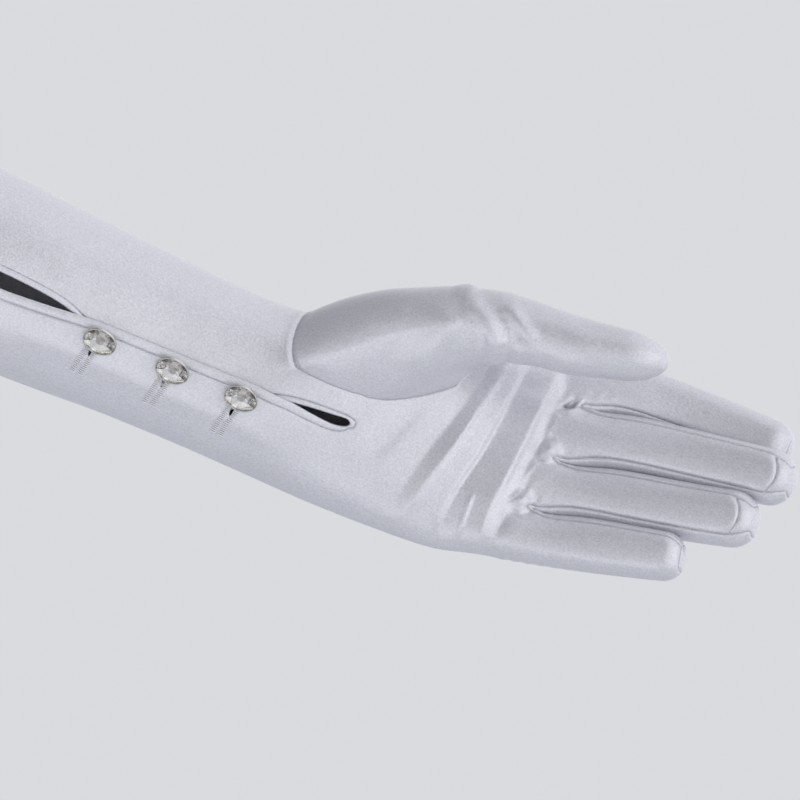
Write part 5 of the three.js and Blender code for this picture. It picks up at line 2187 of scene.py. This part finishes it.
@dataclass
class GloveCloth:
    """The glove's cloth pieces.

    Attributes:
        net: The net of the whole glove.
        finish: How it becomes cloth.
        cuts: Flat cut of each piece: width, length, and the share of that rectangle it fills.
    """

    net: GloveNet = field(default_factory=GloveNet)
    finish: ClothFinish = field(default_factory=ClothFinish)
    cuts: tuple[tuple[Cloth, float, float, float], ...] = (
        (Cloth.TRANK, 0.26, 0.46, 0.78),
        (Cloth.THUMB, 0.105, 0.125, 0.72),
        (Cloth.RING_LITTLE, 0.016, 0.15, 0.75),
        (Cloth.MIDDLE_RING, 0.017, 0.165, 0.75),
        (Cloth.INDEX_MIDDLE, 0.017, 0.165, 0.75),
        (Cloth.BINDING, 0.01, 0.3, 0.4),
    )

    def build(self, material: Material, slits: Sequence[Slit]) -> None:
        """Args:
            material: Its finish.
            slits: The slits of the buttonholes.
        """
        fine = FineNet(self.net, self.finish, slits)
        for kind, width, length, share in self.cuts:
            cloth = ClothPiece(fine, kind, material)
            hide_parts(kind.value)
            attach(cloth.piece, "root")
            if kind is Cloth.TRANK:
                self.trank = cloth
            faces, cut = len(cloth.piece.data.polygons), width * length * share
            log.info("%s: %d faces, area %.5f, cut %.5f", kind.value, faces, cloth.area, cut)

    def surface(self) -> BVHTree:
        """Return the trank's outer face for laying threads on, in millimetres."""
        spots, quads = self.trank.outer
        return BVHTree.FromPolygons(spots.tolist(), quads.tolist())


@dataclass
class WristClosure:
    """The buttons and the embroidered buttonholes of the wrist opening."""

    arm: ArmForm = field(default_factory=ArmForm)
    buttons: tuple[Button, ...] = (
        Button(1, 229.8, -6.6),
        Button(2, 255.3, -5.9),
        Button(3, 279.5, -5.2),
    )
    holes: tuple[Buttonhole, ...] = (
        Buttonhole(Slit(228.0)),
        Buttonhole(Slit(253.9)),
        Buttonhole(Slit(278.2)),
    )

    def build(
        self,
        surface: BVHTree,
        metal: Material,
        stone_finish: tuple[Material, Material],
        thread: Material,
    ) -> None:
        """Build the buttons and the embroidery.

        Args:
            surface: The cloth that the embroidery lies on.
            metal: Finish of the settings.
            stone_finish: Finishes of the stones' crown and of their silvered underside.
            thread: Finish of the embroidery.
        """
        for button in self.buttons:
            setting = button.build_setting(self.arm, metal)
            stone = button.build_stone(self.arm, *stone_finish)
            for piece, node, slot in (
                (setting, f"button_{button.number}", "setting"),
                (stone, f"stone_{button.number}", "stone"),
            ):
                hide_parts(node)
                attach(piece, "root")
        work = Embroidery("buttonhole_stitches", surface)
        for hole in self.holes:
            for stitch in hole.stitches():
                work.lay(*stitch)
        piece = work.finish(thread)
        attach(piece, "root")
        faces = len(piece.data.polygons)
        log.info("closure: %d buttons, %d stitch faces", len(self.buttons), faces)


@dataclass(frozen=True)
class Softbox:
    """A soft light: its place, size and power, what it is aimed at, and its colour."""

    name: str
    place: Triple
    size: Pair
    power: float
    aim: Triple
    colour: Triple = (0.975, 0.985, 1.0)


@dataclass(frozen=True)
class Brightening:
    """How the surroundings brighten along an axis: where it starts and ends, and how bright."""

    axis: str
    start: float
    end: float
    low: float
    high: float

    def limits(self) -> dict[str, float]:
        """Return the inputs of the node that maps the axis to a brightness."""
        names = ("From Min", "From Max", "To Min", "To Max")
        return dict(zip(names, (self.start, self.end, self.low, self.high)))


@dataclass(frozen=True)
class Studio:
    """Plain floor, soft light, pale surroundings and the camera.

    Attributes:
        aim: Point in millimetres that the picture is centred on.
        roll: Turn of the picture about its axis in degrees.
        wide: Width of the picture at the aim in millimetres.
        away: Distance of the camera in metres.
        sensor: Width of the camera's sensor in millimetres.
        background: Colour behind the glove.
        surroundings: How they brighten from the cuff's side to the fingers' side, from the
            camera's side to the others, and from below to above.
        lights: The softboxes.
        floor_size: Width of the floor in metres.
        floor_place: Its middle.
        floor_colours: Its colours, dark and light.
        clouds: Waves to the metre of its unevenness.
    """

    aim: Triple = (327.6, -16, 14.5)
    roll: float = 23.5
    wide: float = 264
    away: float = 1.9
    sensor: float = 36
    background: Triple = (0.694, 0.708, 0.737)
    surroundings: tuple[Brightening, ...] = (
        Brightening("X", -0.75, 0.05, 0.25, 1.0),
        Brightening("Y", -0.98, -0.4, 0.02, 1.46),
        Brightening("Z", -0.9, 0.2, 0.7, 1.0),
    )
    lights: tuple[Softbox, ...] = (
        Softbox("key", (0.93, -1.27, 0.35), (1.4, 1.8), 8.1, (0.33, -0.016, 0.0145)),
        Softbox("sleeve", (0.04, -0.36, -0.13), (0.7, 0.7), 0.8, (0.16, -0.02, 0)),
    )
    floor_size: float = 6
    floor_place: Triple = (0.2, 0, -0.9)
    floor_colours: tuple[Triple, Triple] = ((0.66, 0.67, 0.7), (0.72, 0.73, 0.76))
    clouds: Triple = (3, 3, 3)

    def build(self) -> None:
        """Build the studio."""
        self._floor()
        self._world()
        for softbox in self.lights:
            self._light(softbox)
        self._camera()
        bpy.context.scene.view_settings.view_transform = "Standard"
        log.info("studio: %d lights", len(self.lights))

    def _floor(self) -> None:
        """Lay the floor."""
        bpy.ops.object.select_all(action="DESELECT")
        bpy.ops.mesh.primitive_plane_add(size=self.floor_size, location=self.floor_place)
        floor = bpy.context.object
        floor.name = "floor"
        shader = Shader("floor")
        colour = shader.blend(shader.noise(self.clouds), *self.floor_colours)
        floor.data.materials.append(shader.set(Base_Color=colour, Roughness=0.9))

    def _world(self) -> None:
        """Light the glove from all round, and show the camera an even background."""
        world = bpy.data.worlds.new("studio")
        bpy.context.scene.world = world
        world.use_nodes = True
        nodes = Nodes(world.node_tree)
        place = nodes.add("ShaderNodeTexCoord").outputs["Generated"]
        ways = nodes.add("ShaderNodeSeparateXYZ", None, {0: place}).outputs
        strength = 1.0
        for way in self.surroundings:
            inputs = {"Value": ways[way.axis], **way.limits()}
            shade = nodes.add("ShaderNodeMapRange", {"interpolation_type": "SMOOTHSTEP"}, inputs)
            strength = Wire(nodes, shade.outputs[0]) * strength
        colour = (*self.background, 1)
        lit = nodes.add("ShaderNodeBackground", None, {0: colour, 1: strength})
        seen = nodes.add("ShaderNodeBackground", None, {0: colour})
        from_camera = nodes.add("ShaderNodeLightPath").outputs["Is Camera Ray"]
        sides = {0: from_camera, 1: lit.outputs[0], 2: seen.outputs[0]}
        choice = nodes.add("ShaderNodeMixShader", None, sides)
        nodes.add("ShaderNodeOutputWorld", None, {0: choice.outputs[0]})

    def _light(self, softbox: Softbox) -> None:
        """Hang a softbox."""
        data = bpy.data.lights.new(softbox.name, "AREA")
        data.shape = "RECTANGLE"
        data.size, data.size_y = softbox.size
        data.energy = softbox.power
        data.color = softbox.colour
        light = bpy.data.objects.new(softbox.name, data)
        light.location = softbox.place
        toward = Vector(softbox.aim) - Vector(softbox.place)
        light.rotation_euler = toward.to_track_quat("-Z", "Y").to_euler()
        bpy.context.scene.collection.objects.link(light)

    def _camera(self, far: float = 50) -> None:
        """Set the camera up."""
        data = bpy.data.cameras.new("camera")
        data.sensor_width = self.sensor
        data.lens = self.sensor * self.away / (self.wide * MM)
        data.clip_end = far
        camera = bpy.data.objects.new("camera", data)
        roll = math.radians(self.roll)
        right = Vector((math.cos(roll), 0, math.sin(roll)))
        up = Vector((-math.sin(roll), 0, math.cos(roll)))
        back = right.cross(up)
        place = Vector(self.aim) * MM + back * self.away
        turn = Matrix((right, up, back)).transposed().to_4x4()
        camera.matrix_world = Matrix.Translation(place) @ turn
        bpy.context.scene.collection.objects.link(camera)
        bpy.context.scene.camera = camera


def main() -> None:
    """Build the studio, the cloth and the closure in order."""
    logging.basicConfig(level=logging.INFO, format="%(name)s: %(message)s")
    Studio().build()
    satin = SatinFinish().make("satin")
    cloth = GloveCloth()
    closure = WristClosure()
    cloth.build(satin, [hole.slit for hole in closure.holes])
    closure.build(
        cloth.surface(),
        MetalFinish().make("setting"),
        (StoneFinish().make("stone"), FoilFinish().make("foil")),
        ThreadFinish().make("thread"),
    )


if __name__ == "__main__":
    main()
